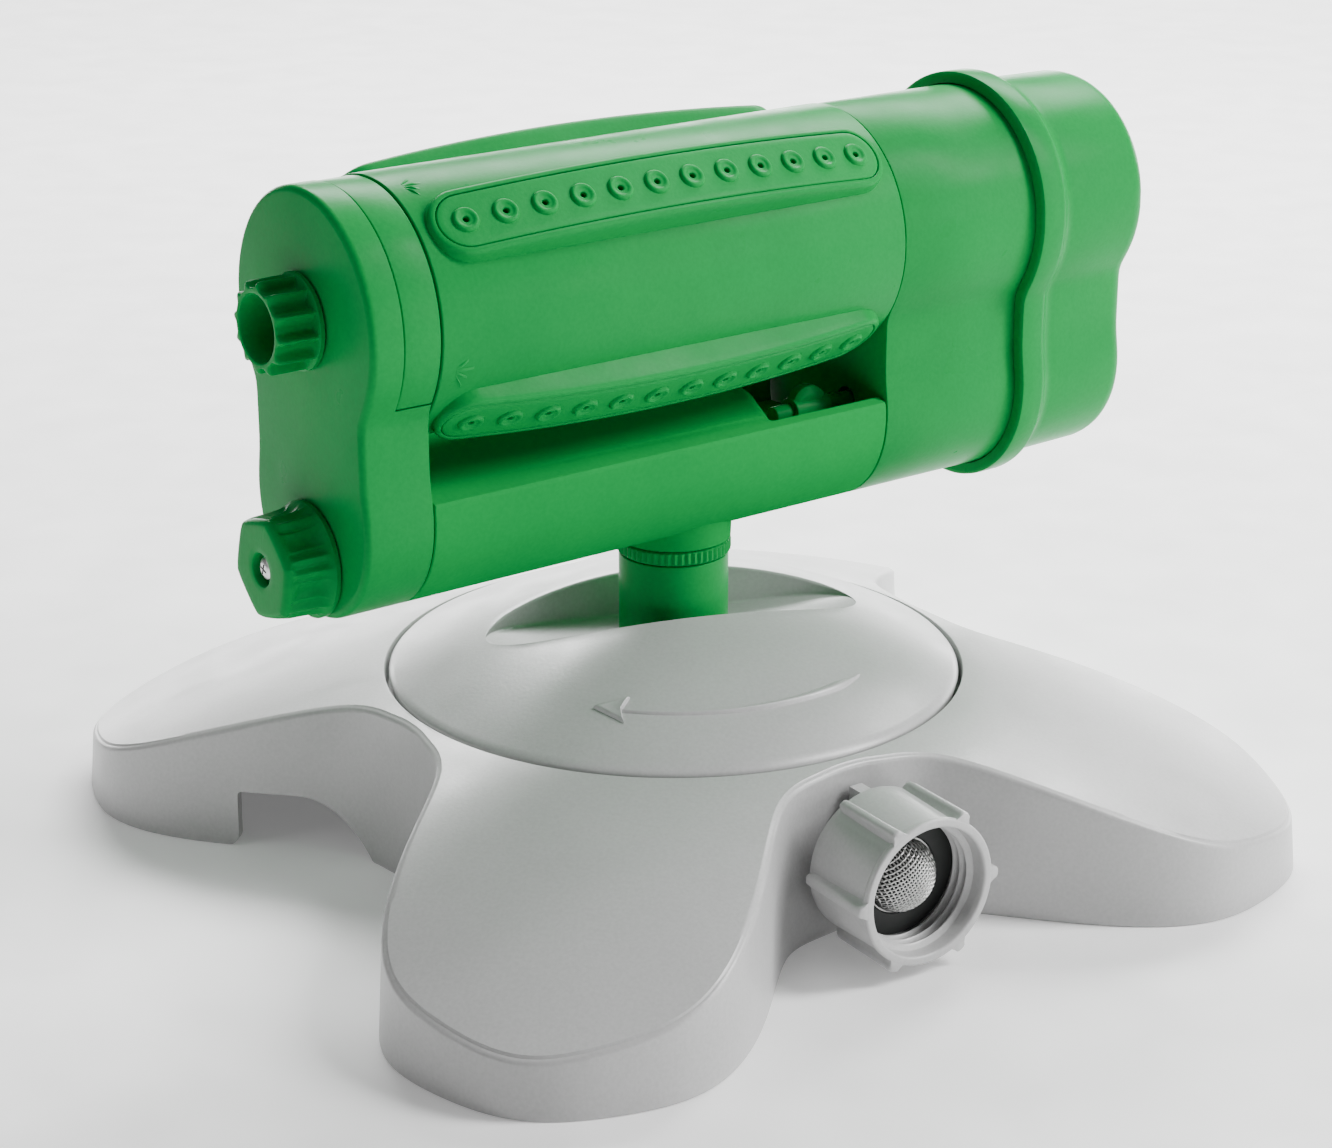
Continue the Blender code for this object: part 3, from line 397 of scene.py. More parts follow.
def bare(name, shape, matrix):
    """A mesh object, in metres, with outward normals."""
    vertices, faces = shape
    mesh = bpy.data.meshes.new(name)
    mesh.from_pydata([(matrix @ Vector(point)) * MM for point in vertices], [], faces)
    work = bmesh.new()
    work.from_mesh(mesh)
    bmesh.ops.recalc_face_normals(work, faces=work.faces)
    work.to_mesh(mesh)
    work.free()
    return linked(name, mesh)


def carve(item, shape, matrix, operation='DIFFERENCE'):
    """Exact Boolean with a closed shape, applied at once."""
    cutter = bare("cutter", shape, matrix)
    modifier = item.modifiers.new("carve", 'BOOLEAN')
    modifier.operation = operation
    modifier.solver = 'EXACT'
    modifier.object = cutter
    graph = bpy.context.evaluated_depsgraph_get()
    result = bpy.data.meshes.new_from_object(item.evaluated_get(graph))
    item.modifiers.clear()
    item.data = result
    bpy.data.objects.remove(cutter)


def finish_piece(item, look, body, nodes=(), sharp=32):
    """Material, shading and body of a finished mesh, and the CAD nodes it stands for, which it hides."""
    item.data.materials.clear()
    item.data.materials.append(look)
    item.data.shade_smooth()
    item.data.set_sharp_from_angle(angle=radians(sharp))
    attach(item, body)
    if nodes:
        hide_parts(*nodes)
    return item


def piece(name, shape, matrix, look, body, slot_name, *nodes, sharp=32):
    """A shape made into a finished piece in one go."""
    return finish_piece(bare(name, shape, matrix), look, body, nodes, sharp)


# ---- base ----------------------------------------------------------------------------------------

def base_outline(offset, count=432):
    """The base's edge in plan, evenly spaced along its length and moved in by offset.

    Bell curves (swing, middle, spread) round the edge off where two lobes meet.
    """
    fine = 2880
    dense = []
    for step in range(fine):
        angle = TAU * step / fine
        radius = sum(swing * cos(4 * n * angle) for n, swing in enumerate(LOBE_WAVES))
        from_diagonal = abs(math.degrees(angle) % 90 - 45)
        for swing, middle, spread in MEETING_BELLS:
            radius += swing * math.exp(-((from_diagonal - middle) / spread) ** 2)
        dense.append(Vector((radius * cos(angle), radius * sin(angle))))
    lengths = [0.0]
    for step in range(fine):
        lengths.append(lengths[-1] + (dense[(step + 1) % fine] - dense[step]).length)
    points = []
    place = 0
    for step in range(count):
        target = lengths[-1] * step / count
        while lengths[place + 1] < target:
            place += 1
        share = (target - lengths[place]) / (lengths[place + 1] - lengths[place])
        spot = dense[place].lerp(dense[(place + 1) % fine], share)
        tangent = (dense[(place + 2) % fine] - dense[place - 2]).normalized()
        inward = Vector((-tangent.y, tangent.x))
        amount = offset(spot) if callable(offset) else offset
        points.append(spot + inward * amount)
    return points


def base_height(radius):
    """Height of the lobes' upper face at a distance from the middle."""
    out = max(radius / DISC_R - 1.0, 0.0)
    slope, bend = LOBE_FALL
    return RIM_Z - DISC_R * (slope * out + bend * out * out)


def base_cover():
    """Lobed shell with a rounded upper edge, a drafted skirt, arches and a sunken middle."""
    edge = base_outline(0.0)
    aim = [point.normalized() for point in edge]
    rim_r = DISC_R + DISC_GAP

    def edge_radius(spot):
        return min(EDGE_ROUND, 0.8 * (spot.length - rim_r))

    def circle(radius, height):
        return [(way.x * radius, way.y * radius, height) for way in aim]

    loops = [circle(HUB_HOLE_R, RECESS_Z)]
    for out, height in ((0.1, RECESS_Z), (0.35, RECESS_Z + 0.4), (0.45, RIM_Z - 0.9), (0.55, RIM_Z - 0.45),
                        (0.75, RIM_Z - 0.16)):
        loops.append(circle(DISC_R + out, height))
    loops.append(circle(rim_r + 0.1, base_height(rim_r)))
    shoulder = base_outline(edge_radius)
    for share in (0.08, 0.2, 0.32, 0.44, 0.56, 0.68, 0.8, 0.9, 0.96, 1.0):
        loop = []
        for way, point in zip(aim, shoulder):
            spot = (way * rim_r).lerp(point, share)
            loop.append((spot.x, spot.y, base_height(spot.length)))
        loops.append(loop)
    for step in range(1, 8):
        angle = radians(90 * step / 7)
        rounded = base_outline(lambda spot: edge_radius(spot) * (1 - sin(angle)))
        loops.append([(p.x, p.y, base_height(q.length) - edge_radius(q) * (1 - cos(angle)))
                      for p, q in zip(rounded, edge)])
    for share in (0.15, 0.35, 0.55, 0.75, 0.9, 0.985):
        wall = base_outline(-SKIRT_DRAFT * share)
        loops.append([(p.x, p.y, (base_height(q.length) - edge_radius(q)) * (1 - share))
                      for p, q in zip(wall, edge)])
    for offset, height in ((-0.75, 0.0), (1.3, 0.0), (1.6, 0.4)):
        loops.append([(p.x, p.y, height) for p in base_outline(offset)])
    inside = base_outline(2.6)
    for drop in (6.0, 4.2):
        loops.append([(p.x, p.y, base_height(q.length) - drop) for p, q in zip(inside, edge)])
    for share in (0.8, 0.55, 0.3, 0.1):
        loop = []
        for way, point in zip(aim, base_outline(5.2)):
            spot = (way * (DISC_R - 2.0)).lerp(point, share)
            if point.length < DISC_R:
                spot = way * min(spot.length, DISC_R - 1.2)
            loop.append((spot.x, spot.y, base_height(spot.length) - WALL - 0.4))
        loops.append(loop)
    loops += [circle(DISC_R - 3.0, RECESS_Z - WALL), circle(HUB_HOLE_R, RECESS_Z - WALL)]
    cover = bare("base_cover", lofted(loops, capped=False), WORLD)

    arch = [(ARCH_START_X - ARCH_FOOT_CUT, -5.0)]
    for step in range(24, -1, -1):
        past = ARCH_FALL * 1.17 * step / 24
        arch.append((ARCH_BEND_X + past, ARCH_HEIGHT * (1 - (past / ARCH_FALL) ** 2)))
    for step in range(6):
        angle = radians(18 * step)
        arch.append((ARCH_START_X + ARCH_CORNER - ARCH_CORNER * sin(angle),
                     ARCH_HEIGHT - ARCH_CORNER + ARCH_CORNER * cos(angle)))
    for step in range(9):
        angle = radians(90 * step / 8)
        arch.append((ARCH_START_X - ARCH_FOOT_CUT * (1 - cos(angle)),
                     ARCH_FOOT_CUT * (1 - sin(angle))))
    standing = moved(lofted([[(x, z, y) for x, z in arch] for y in ARCH_DEPTH]),
                     Matrix.Rotation(radians(90), 4, 'X'))
    for turn in (0, 180, 270):
        carve(cover, standing, Matrix.Rotation(radians(turn), 4, 'Z'))
    carve(cover, turned([(INLET_R, 58.0), (INLET_R, 82.0)], 64, True), NUT)
    holes = []
    for number in range(3):
        angle = radians(15 + 120 * number)
        hole = upright(turned([(SCREW_HOLE_R, RECESS_Z - 6), (SCREW_HOLE_R, RECESS_Z + 3)], 20, True))
        spot = (SCREW_CIRCLE_R * cos(angle), SCREW_CIRCLE_R * sin(angle), 0)
        holes.append(moved(hole, Matrix.Translation(spot)))
    carve(cover, merged(holes), WORLD)
    finish_piece(cover, GREY, "base", ["base_shell"], 30)


def dome(radius):
    """Height of the disc's crown at a distance from the middle."""
    return RIM_Z + DOME_RISE * (1 - (radius / DISC_R) ** 2)


def disc_cover():
    """Low dome with a boat-shaped trough, rounded at its lip and along its floor."""
    count = 288
    spin = Matrix.Rotation(TROUGH_TURN, 2)

    def boat_point(step, grow=0.0):
        angle = TAU * step / count
        spot = Vector((TROUGH_LONG * cos(angle), TROUGH_WIDE * sin(angle)))
        way = Vector((cos(angle) / TROUGH_LONG, sin(angle) / TROUGH_WIDE)).normalized()
        return spot + way * grow

    def floor_z(along):
        return TROUGH_Z + TROUGH_RISE * (along / TROUGH_LONG) ** 2

    def place(spot, height):
        turned_spot = spin @ spot
        return (turned_spot.x, turned_spot.y, height)

    ways = [Vector(spot) for spot in circle_points(1.0, count)]
    loops = [[], [], []]
    for way in ways:
        bottom = floor_z(POST_HOLE_R * way.x)
        loops[0].append(place(way * POST_HOLE_R, RECESS_Z + 3.1))
        loops[1].append(place(way * POST_HOLE_R, bottom - 0.4))
        loops[2].append(place(way * (POST_HOLE_R + 0.25), bottom))
    for share in (0.3, 0.7, 1.0):
        loop = []
        for step, way in enumerate(ways):
            edge = boat_point(step)
            lip = TROUGH_LIP * min(1.0, (dome(edge.length) - floor_z(edge.x)) / 3)
            spot = (way * (POST_HOLE_R + 0.25)).lerp(boat_point(step, -lip - 0.05), share)
            loop.append(place(spot, floor_z(spot.x)))
        loops.append(loop)
    for low in (True, False):
        for turn in range(1, 6):
            angle = radians(90 * turn / 6)
            loop = []
            for step in range(count):
                edge = boat_point(step)
                bottom = floor_z(edge.x)
                top = dome(edge.length)
                size = TROUGH_LIP * min(1.0, (top - bottom) / 3)
                if low:
                    spot = boat_point(step, -size * (1 - sin(angle)))
                    height = bottom + size * (1 - cos(angle))
                else:
                    spot = boat_point(step, size * (1 - cos(angle)))
                    height = top - size * (1 - sin(angle))
                loop.append(place(spot, height))
            loops.append(loop)
    for share in (0.0, 0.06, 0.15, 0.28, 0.42, 0.56, 0.7, 0.82, 0.91, 0.97, 1.0):
        loop = []
        for step, way in enumerate(ways):
            spot = boat_point(step, TROUGH_LIP + 0.05).lerp(way * (DISC_R - 1.3), share)
            loop.append(place(spot, dome(spot.length)))
        loops.append(loop)
    for radius, height in ((DISC_R - 0.75, RIM_Z + 0.10), (DISC_R - 0.45, RIM_Z - 0.25),
                           (DISC_R - 0.35, RIM_Z - 0.8), (DISC_R - 1.4, RECESS_Z + 0.35),
                           (DISC_R - 3.6, RECESS_Z + 0.35), (DISC_R - 4.2, RIM_Z - 2.5),
                           (18.0, RIM_Z - 2.5)):
        loops.append([place(way * radius, height) for way in ways])
    piece("disc_cover", lofted(loops, capped=False), WORLD, GREY, "lock_disc", "grey_base", "lock_disc")


def disc_arrow():
    """Raised arrow on the disc: a stroke that widens to its tail, and a head with a notched back."""
    loops = []
    steps = 96
    for step in range(steps + 1):
        share = step / steps
        angle = radians(ARROW_START + ARROW_SWEEP * share)
        width = (0.55 + 1.5 * share) * min(1.0, (1 - share) * 8 + 0.04)
        rise = 0.5 + 0.26 * width
        loop = []
        for across, up in ((-0.8, -0.4), (-0.8, 0.0), (-0.25, 0.7), (0.1, 1.0), (0.35, 0.95),
                           (0.55, 0.0), (0.55, -0.4)):
            radius = ARROW_R + across * width
            height = dome(radius) + (up * rise if up > 0 else up)
            loop.append((radius * cos(angle), radius * sin(angle), height))
        loops.append(loop)
    middle_turn, middle_r = ARROW_HEAD_MIDDLE
    layers = []
    for shrink, up in ((0.0, -0.4), (0.0, 0.35), (0.1, 0.85), (0.2, 0.95), (0.4, 0.8)):
        layer = []
        for turn, radius in ARROW_HEAD:
            turn = turn + (middle_turn - turn) * shrink
            radius = radius + (middle_r - radius) * shrink
            angle = radians(turn)
            layer.append((radius * cos(angle), radius * sin(angle), dome(radius) + up))
        layers.append(layer)
    piece("disc_arrow", merged([lofted(loops), lofted(layers)]), WORLD, GREY, "lock_disc", "grey_base",
          sharp=50)


def post_and_ring():
    """Post with its foot and, above a small gap, the ring of short upright teeth."""
    foot, foot_top = RECESS_Z + 0.3, RECESS_Z + 2.7
    profile = softened([(POST_FOOT_R, foot, 0), (POST_FOOT_R, foot_top, 0.3), (POST_R, foot_top, 0.6),
                        (POST_R, POST_TOP, 0.35), (POST_BORE_R, POST_TOP, 0), (POST_BORE_R, foot, 0)])
    piece("post", upright(turned(profile, 128)), WORLD, GREEN, "base", "green_body", "riser_post")
    steps = TOOTH_COUNT * 4
    loops = []
    for height, tooth_rise, inset in ((POST_TOP + 0.3, 0.0, 0.2), (POST_TOP + 0.5, 0.0, 0.0),
                                      (POST_TOP + 0.8, 1.0, 0.0), (RING_TOP - 0.35, 1.0, 0.0),
                                      (RING_TOP - 0.15, 0.3, 0.05), (RING_TOP, 0.0, 0.2)):
        loop = []
        for step in range(steps):
            angle = TAU * step / steps
            tooth = (0.0, 0.62, 1.0, 0.62)[step % 4]
            radius = TOOTH_ROOT_R - inset + TOOTH_HEIGHT * tooth * tooth_rise
            loop.append((radius * cos(angle), radius * sin(angle), height))
        loops.append(loop)
    for height in (RING_TOP, POST_TOP + 0.3):
        loops.append([(x, y, height) for x, y in circle_points(POST_BORE_R, steps)])
    piece("tooth_ring", lofted(loops, capped=False), WORLD, GREEN, "base", "green_body", "detent_ring")


# ---- hose nut ------------------------------------------------------------------------------------

def nut_pieces():
    """Ribbed nut with a threaded mouth, its washer and a woven dome screen."""
    back, face = NUT_BACK, NUT_FACE
    profile = softened([(16.2, back, 0.8), (16.4, back + 2.0, 0.4), (15.9, face - 2.3, 0.5),
                        (16.0, face - 1.9, 0.3), (16.5, face - 1.3, 0.35), (16.5, face, 0.5),
                        (NUT_MOUTH_R + 0.25, face, 0.5), (NUT_MOUTH_R, face - 1.2, 0.5),
                        (NUT_MOUTH_R, back + 3.9, 0.3),
                        (10.0, back + 3.9, 0.2), (10.0, back, 0.3)], 4)
    shapes = [turned(profile, 160)]
    for number in range(NUT_RIBS):
        loops = []
        for along, size in ((back + 0.9, 0.3), (back + 1.1, 0.6), (back + 1.5, 0.85), (back + 2.1, 0.97),
                            (back + 3.0, 1.0), (face - 2.6, 1.0), (face - 1.2, 1.0), (face - 0.6, 0.99),
                            (face - 0.25, 0.94), (face - 0.06, 0.86)):
            loop = []
            flare = 1.0 + 0.7 * max(0.0, 1 - (face - along) / 2.0) ** 1.5
            for across, out in ((-2.1, 0.0), (-1.55, 0.28), (-1.25, 0.42), (-1.15, 0.7), (-0.95, 0.9),
                                (-0.55, 0.99), (0.0, 1.0), (0.55, 0.99), (0.95, 0.9), (1.15, 0.7),
                                (1.25, 0.42), (1.55, 0.28), (2.1, 0.0)):
                radius = 15.0 + 3.5 * out * size
                spread = flare if out < 0.6 else 1.0 + (flare - 1.0) * 0.35
                loop.append((along, across * spread * (0.55 + 0.45 * size), radius))
            loops.append(loop)
        turn = Matrix.Rotation(TAU * number / NUT_RIBS + math.pi / 2, 4, 'X')
        shapes.append(moved(lofted(loops), turn))
    steps = 72
    last = int(steps * THREAD_TURNS)
    thread = []
    for step in range(last + 1):
        angle = TAU * step / steps + THREAD_START
        along = face - 3.0 - THREAD_PITCH * step / steps
        swell = min(1.0, step / 20, (last - step) / 20) * 0.98 + 0.02
        loop = []
        for shift, depth in ((-0.85, -0.3), (-0.7, 0.0), (-0.35, 1.1), (0.0, 1.35), (0.35, 1.1),
                             (0.7, 0.0), (0.85, -0.3)):
            radius = NUT_MOUTH_R - depth * (swell if depth > 0 else 1.0)
            loop.append((along + shift, radius * cos(angle), radius * sin(angle)))
        thread.append(loop)
    shapes.append(lofted(thread))
    piece("nut_body", merged(shapes), NUT, GREY, "hose_nut", "grey_base", "hose_nut", sharp=40)
    seat = back + WASHER_SEAT
    ring = softened([(13.6, back + 7.6, 0.4), (13.6, seat + 0.5, 0.5), (8.6, seat + 0.5, 0.5),
                     (8.4, back + 7.6, 0.4)])
    piece("nut_washer", turned(ring, 96), NUT, RUBBER, "hose_nut", "black_seal", "hose_washer")
    screen(seat)


def screen(seat):
    """Dome of woven wire in a narrow hem, over a dark cup that stands for the bore's shade."""
    wires = []
    lines = int(SCREEN_R / WIRE_PITCH)

    def cap(y, z):
        flat = min(math.hypot(y, z) / SCREEN_R, 1.0)
        return seat - 0.2 + SCREEN_RISE * (1 - flat ** 2.4) ** 0.62

    for crossed in (False, True):
        for line in range(-lines, lines + 1):
            level = line * WIRE_PITCH
            half = math.sqrt(max(SCREEN_R ** 2 - level ** 2, 0.0))
            steps = max(int(4 * half / WIRE_PITCH), 4)
            path = []
            for step in range(steps + 1):
                along = -half * cos(math.pi * step / steps)
                y, z = (level, along) if crossed else (along, level)
                weave = cos(math.pi * along / WIRE_PITCH) * (1 if (line + crossed) % 2 else -1)
                spot = Vector((cap(y, z) + weave * WIRE_R * 0.9, y, z))
                path.append(Matrix.Rotation(WIRE_TURN, 3, 'X') @ spot)
            if half > 1.2:
                wires.append(wire_tube(path, WIRE_R))
    hem = softened([(8.7, seat - 0.9, 0.1), (8.7, seat - 0.1, 0.1), (8.2, seat - 0.1, 0.1),
                    (7.9, seat - 0.9, 0.1)])
    piece("screen_weave", merged([turned(hem, 72)] + wires), NUT, WIRE, "hose_nut", "steel",
          "inlet_screen", sharp=60)
    cup = softened([(7.8, seat - 2.0, 0.2), (7.8, seat - 0.6, 0.2), (0.02, seat - 0.6, 0),
                    (0.02, seat - 2.0, 0)])
    piece("bore_shadow", turned(cup, 48, True), NUT, RUBBER, "hose_nut", "black_seal")


def wire_tube(path, radius, sides=5):
    """Round wire along a path."""
    loops = []
    for i, spot in enumerate(path):
        ahead = (path[min(i + 1, len(path) - 1)] - path[max(i - 1, 0)]).normalized()
        side = ahead.cross(Vector((1, 0, 0))).normalized()
        over = side.cross(ahead)
        turns = [TAU * k / sides for k in range(sides)]
        loops.append([spot + (side * cos(turn) + over * sin(turn)) * radius for turn in turns])
    return lofted(loops)


# ---- head ----------------------------------------------------------------------------------------

def half_width(height, inset):
    """Half width of the head's cross-section at a height, moved in by inset."""
    big = BODY_R - inset
    small = LOWER_R - inset
    upper = math.sqrt(max(big ** 2 - height ** 2, 0.0))
    lower = math.sqrt(max(small ** 2 - (height - LOWER_Z) ** 2, 0.0))
    waist = (WAIST_HALF - inset) * max(1 - (abs(height - WAIST_Z) / WAIST_SPREAD) ** 8, 0.0) ** 0.5
    if height > 2 or height < LOWER_Z - 8:
        return max(upper, lower)
    return 0.8 * math.log(sum(math.exp(width / 0.8) for width in (upper, lower, waist)) - 2)


def section(inset=0.0, top=None):
    """Closed (y, z) outline of the head, from the crest down the +y side, or from a lower top."""
    big = BODY_R - inset
    heights = []
    if top is None:
        heights = [big * cos(radians(angle)) for angle in range(4, 88, 4)]
        heights += [-height for height in range(1, 42)]
    else:
        heights = [top - step * (top - LOWER_Z) / 6 for step in range(7)]
    small = LOWER_R - inset
    heights += [LOWER_Z - small * sin(radians(angle)) for angle in range(4, 88, 4)]
    side = [(half_width(height, inset), height) for height in heights]
    crest = [(0.0, big)] if top is None else []
    bottom = (0.0, LOWER_Z - small)
    return crest + side + [bottom] + [(-y, z) for y, z in reversed(side)]


def along_head(outlines):
    """Skin (s, outline) pairs along the head."""
    return lofted([[(s, y, z) for y, z in outline] for s, outline in outlines])


def front_cover():
    """Front cover with a rounded face edge: thin above the step, deep below it."""
    outlines = []
    for step in range(7):
        angle = radians(90 * step / 6)
        behind = FACE_ROUND * (1 - cos(angle))
        outlines.append((FACE_S + behind, section(FACE_ROUND * (1 - sin(angle)))))
    outlines += [(COLLAR_START - 0.9, section()), (BLOCK_S - 0.25, section()), (BLOCK_S, section(0.2))]
    cover = bare("front_cover", along_head(outlines), HEAD)
    carve(cover, box_shape((COLLAR_START - 0.3, -40, STEP_Z), (BLOCK_S + 8, 40, 40)), HEAD)
    carve(cover, along_head([(FACE_S + 3, section(WALL)), (BLOCK_S + 5, section(WALL))]), HEAD)
    bores = [turned([(7.2, -110), (7.2, -70)], 40, True),
             moved(turned([(3.8, -110), (3.8, -70)], 32, True), Matrix.Translation((0, 0, VALVE_Z)))]
    carve(cover, merged(bores), HEAD)
    finish_piece(cover, GREEN, "head", ["end_plate"], 30)


def collar():
    """Fixed ring between the cover and the drum."""
    start, end = COLLAR_START, COLLAR_END
    front, rear = COLLAR_WEB
    profile = softened([(COLLAR_R, start, 0.35), (COLLAR_R + 0.1, end, 0.4), (COLLAR_BORE_R, end, 0.2),
                        (COLLAR_BORE_R, rear, 0), (10.0, rear, 0), (10.0, front, 0),
                        (COLLAR_BORE_R, front, 0), (COLLAR_BORE_R, start, 0)])
    ring = bare("drum_collar", turned(profile, 160), HEAD)
    low = STEP_Z + 0.3
    notch = [(-40.0, low)]
    for step in range(17):
        angle = radians(220 + 100 * step / 16)
        notch.append((17.5 * cos(angle), 17.5 * sin(angle)))
    notch[1] = (notch[1][0], low)
    notch[-1] = (notch[-1][0], low)
    notch += [(40.0, low), (40.0, -50.0), (-40.0, -50.0)]
    carve(ring, along_head([(-95.0, notch), (-70.0, notch)]), HEAD)
    finish_piece(ring, GREEN, "head", ["bearing_collar"], 30)


def cradle_outline(inset):
    """Closed (y, z) outline of the cradle, moved in by inset."""
    low = section(inset, DECK_EDGE_Z - inset * 1.2)
    side = low[0][0]
    deck_y = 16.0 - inset * 0.2
    deck = [(-side + 0.25, DECK_EDGE_Z - inset * 1.2 + 0.35), (-deck_y - 1.2, DECK_Z - inset - 0.35)]
    deck += [(-deck_y + 0.8, DECK_Z - inset), (0.0, DECK_Z - inset), (deck_y - 0.8, DECK_Z - inset)]
    deck += [(deck_y + 1.2, DECK_Z - inset - 0.35), (side - 0.25, DECK_EDGE_Z - inset * 1.2 + 0.35)]
    return deck + low


def cradle_body():
    """Body under the drum: deck, side walls, the lever's pocket and the swivel neck."""
    start, end = CRADLE_START, CRADLE_END
    outlines = [(start, cradle_outline(0.2)), (start + 0.25, cradle_outline(0)),
                (end - 0.25, cradle_outline(0)), (end, cradle_outline(0.2))]
    body = bare("cradle_body", along_head(outlines), HEAD)
    carve(body, along_head([(start - 10, cradle_outline(WALL)), (end + 10, cradle_outline(WALL))]), HEAD)
    neck_top = LOWER_Z - LOWER_R + 4.4
    neck = softened([(NECK_R, NECK_BASE, 0.35), (NECK_R + 0.25, neck_top + 1.0, 0),
                     (NECK_BORE_R, neck_top + 1.0, 0), (NECK_BORE_R, NECK_BASE, 0.2)])
    carve(body, upright(turned([(10.9, NECK_BASE - 5), (10.9, neck_top + 9)], 64, True)), HEAD)
    carve(body, box_shape((9.0, -20.6, -48.5), (end - 0.4, 20.6, -36.45)), HEAD, 'UNION')
    levels = []
    for height, flare in ((-46.5, 0.0), (-38.4, 0.0), (-37.2, 0.25), (-36.2, 0.8), (-35.45, 1.7),
                          (-35.02, 3.0), (-34.6, 4.6), (-30.0, 5.4)):
        pocket = softened([(12.6 - flare, -20.1, 1.5), (end + 5, -20.1, 0), (end + 5, 19.4, 0),
                           (23.0 - flare, 19.4, 1.5), (23.0 - flare, 1.0, 4.0)], 5)
        levels.append([(s, y, height) for s, y in pocket])
    carve(body, lofted(levels), HEAD)
    finish_piece(body, DEEP_GREEN, "head", ["cradle"], 30)
    piece("swivel_neck", upright(turned(neck, 128)), HEAD, DEEP_GREEN, "head", "green_body")


def housing():
    """Gear housing behind the drum, open under the cap."""
    outlines = [(HOUSING_START, section(0.3)), (HOUSING_START + 0.12, section(0.08)),
                (HOUSING_START + 0.4, section()), (68.0, section()), (HOUSING_END, section())]
    body = bare("housing", along_head(outlines), HEAD)
    carve(body, along_head([(HOUSING_START + 3, section(WALL)), (HOUSING_END + 9, section(WALL))]), HEAD)
    bores = [turned([(10.0, 30), (10.0, 60)], 48, True),
             moved(turned([(6.3, 30), (6.3, 60)], 40, True), Matrix.Translation((0, 0, VALVE_Z))),
             moved(turned([(3.2, 30), (3.2, 60)], 32, True), Matrix.Translation((0, -8, -40)))]
    carve(body, merged(bores), HEAD)
    finish_piece(body, GREEN, "head", ["gear_housing"], 30)


def cap():
    """End cap: undercut flange, shoulder, and a crowned end."""
    start, end = FLANGE_START, CAP_END
    flange = ((0, -1.9), (0.15, -2.5), (0.5, -2.9), (1.1, -3.0), (6.2, -2.95), (6.9, -2.8), (7.6, -2.3),
              (9.2, -0.9), (10.2, -0.35), (11.4, -0.05), (12.5, 0.0))
    crown = ((4.6, 0.35), (3.2, 0.6), (2.2, 0.95), (1.3, 1.5), (0.6, 2.3), (0.15, 3.3), (0, 4.6))
    outlines = [(start + past, section(inset)) for past, inset in flange]
    outlines += [(end - left, section(inset)) for left, inset in crown]
    body = bare("end_cap", along_head(outlines), HEAD)
    carve(body, along_head([(start - 5, section(-0.3)), (HOUSING_END + 0.3, section(-0.3))]), HEAD)
    carve(body, along_head([(start, section(WALL)), (end - 3.2, section(WALL + 1))]), HEAD)
    finish_piece(body, GREEN, "head", ["housing_cap"], 30)


# ---- drum ----------------------------------------------------------------------------------------

def row_height(along):
    """Distance of a nozzle row's crowned face from the drum's axis."""
    return ROW_PEAK_R - ROW_DROP * ((along - ROW_CENTRE) / ROW_REACH) ** 2


def stadium(half, drop, count=30, ends=18):
    """Closed loop round a nozzle row at half width, lowered by drop from the crowned face.

    Without a drop it lies flat, hidden in the drum's bore.
    """
    spots = []
    for step in range(ends + 1):
        angle = radians(-90 + 180 * step / ends)
        spots.append((ROW_REACH + half * cos(angle), half * sin(angle)))
    for step in range(1, count):
        spots.append((ROW_REACH - 2 * ROW_REACH * step / count, half))
    for step in range(ends + 1):
        angle = radians(90 + 180 * step / ends)
        spots.append((-ROW_REACH + half * cos(angle), half * sin(angle)))
    for step in range(1, count):
        spots.append((-ROW_REACH + 2 * ROW_REACH * step / count, -half))
    loop = []
    for along, across in spots:
        height = BORDER_FOOT_R if drop is None else row_height(ROW_CENTRE + along) - drop
        loop.append((ROW_CENTRE + along, across, height))
    return loop


def drum():
    """Drum tube with four raised borders round the nozzle rows, and small index marks."""
    start, end = DRUM_START, DRUM_END
    profile = softened([(DRUM_R, start, 0.35), (DRUM_R, end, 0.35), (DRUM_BORE_R, end, 0.1),
                        (DRUM_BORE_R, start, 0.1)], 3)
    shapes = [turned(profile, 256)]
    outer = ((0.55, None), (0.25, 2.4), (0.1, 1.2), (0, 0.75), (-0.22, 0.32), (-0.6, 0.06), (-0.95, 0.0))
    inner = ((0.35, 0.0), (0.2, 0.14), (0.16, 0.5), (0.16, 2.1))
    border = lofted([stadium(BORDER_HALF + out, drop) for out, drop in outer]
                    + [stadium(STRIP_HALF + out, drop) for out, drop in inner])
    for number in range(ROWS):
        turn = radians(FIRST_ROW + 90 * number)
        shapes.append(moved(border, Matrix.Rotation(turn, 4, 'X')))
        for shift, long, lean in MARK_STROKES:
            loops = []
            for step in range(9):
                share = step / 8
                along = MARK_START + long * share
                angle = turn - radians(28.5 - shift) + lean * (share - 0.5) * 0.11
                rise = 0.3 * sin(math.pi * min(max(share, 0.06), 0.94))
                loop = []
                for across, up in ((-0.36, -0.3), (-0.3, 0.6), (0.0, 1.0), (0.3, 0.6), (0.36, -0.3)):
                    radius = DRUM_R + (rise * up if up > 0 else up)
                    loop.append((along, radius * -sin(angle + across / DRUM_R),
                                 radius * cos(angle + across / DRUM_R)))
                loops.append(loop)
            shapes.append(lofted(loops))
    piece("drum_tube", merged(shapes), HEAD, GREEN, "drum", "green_body", "drum_shell", sharp=38)


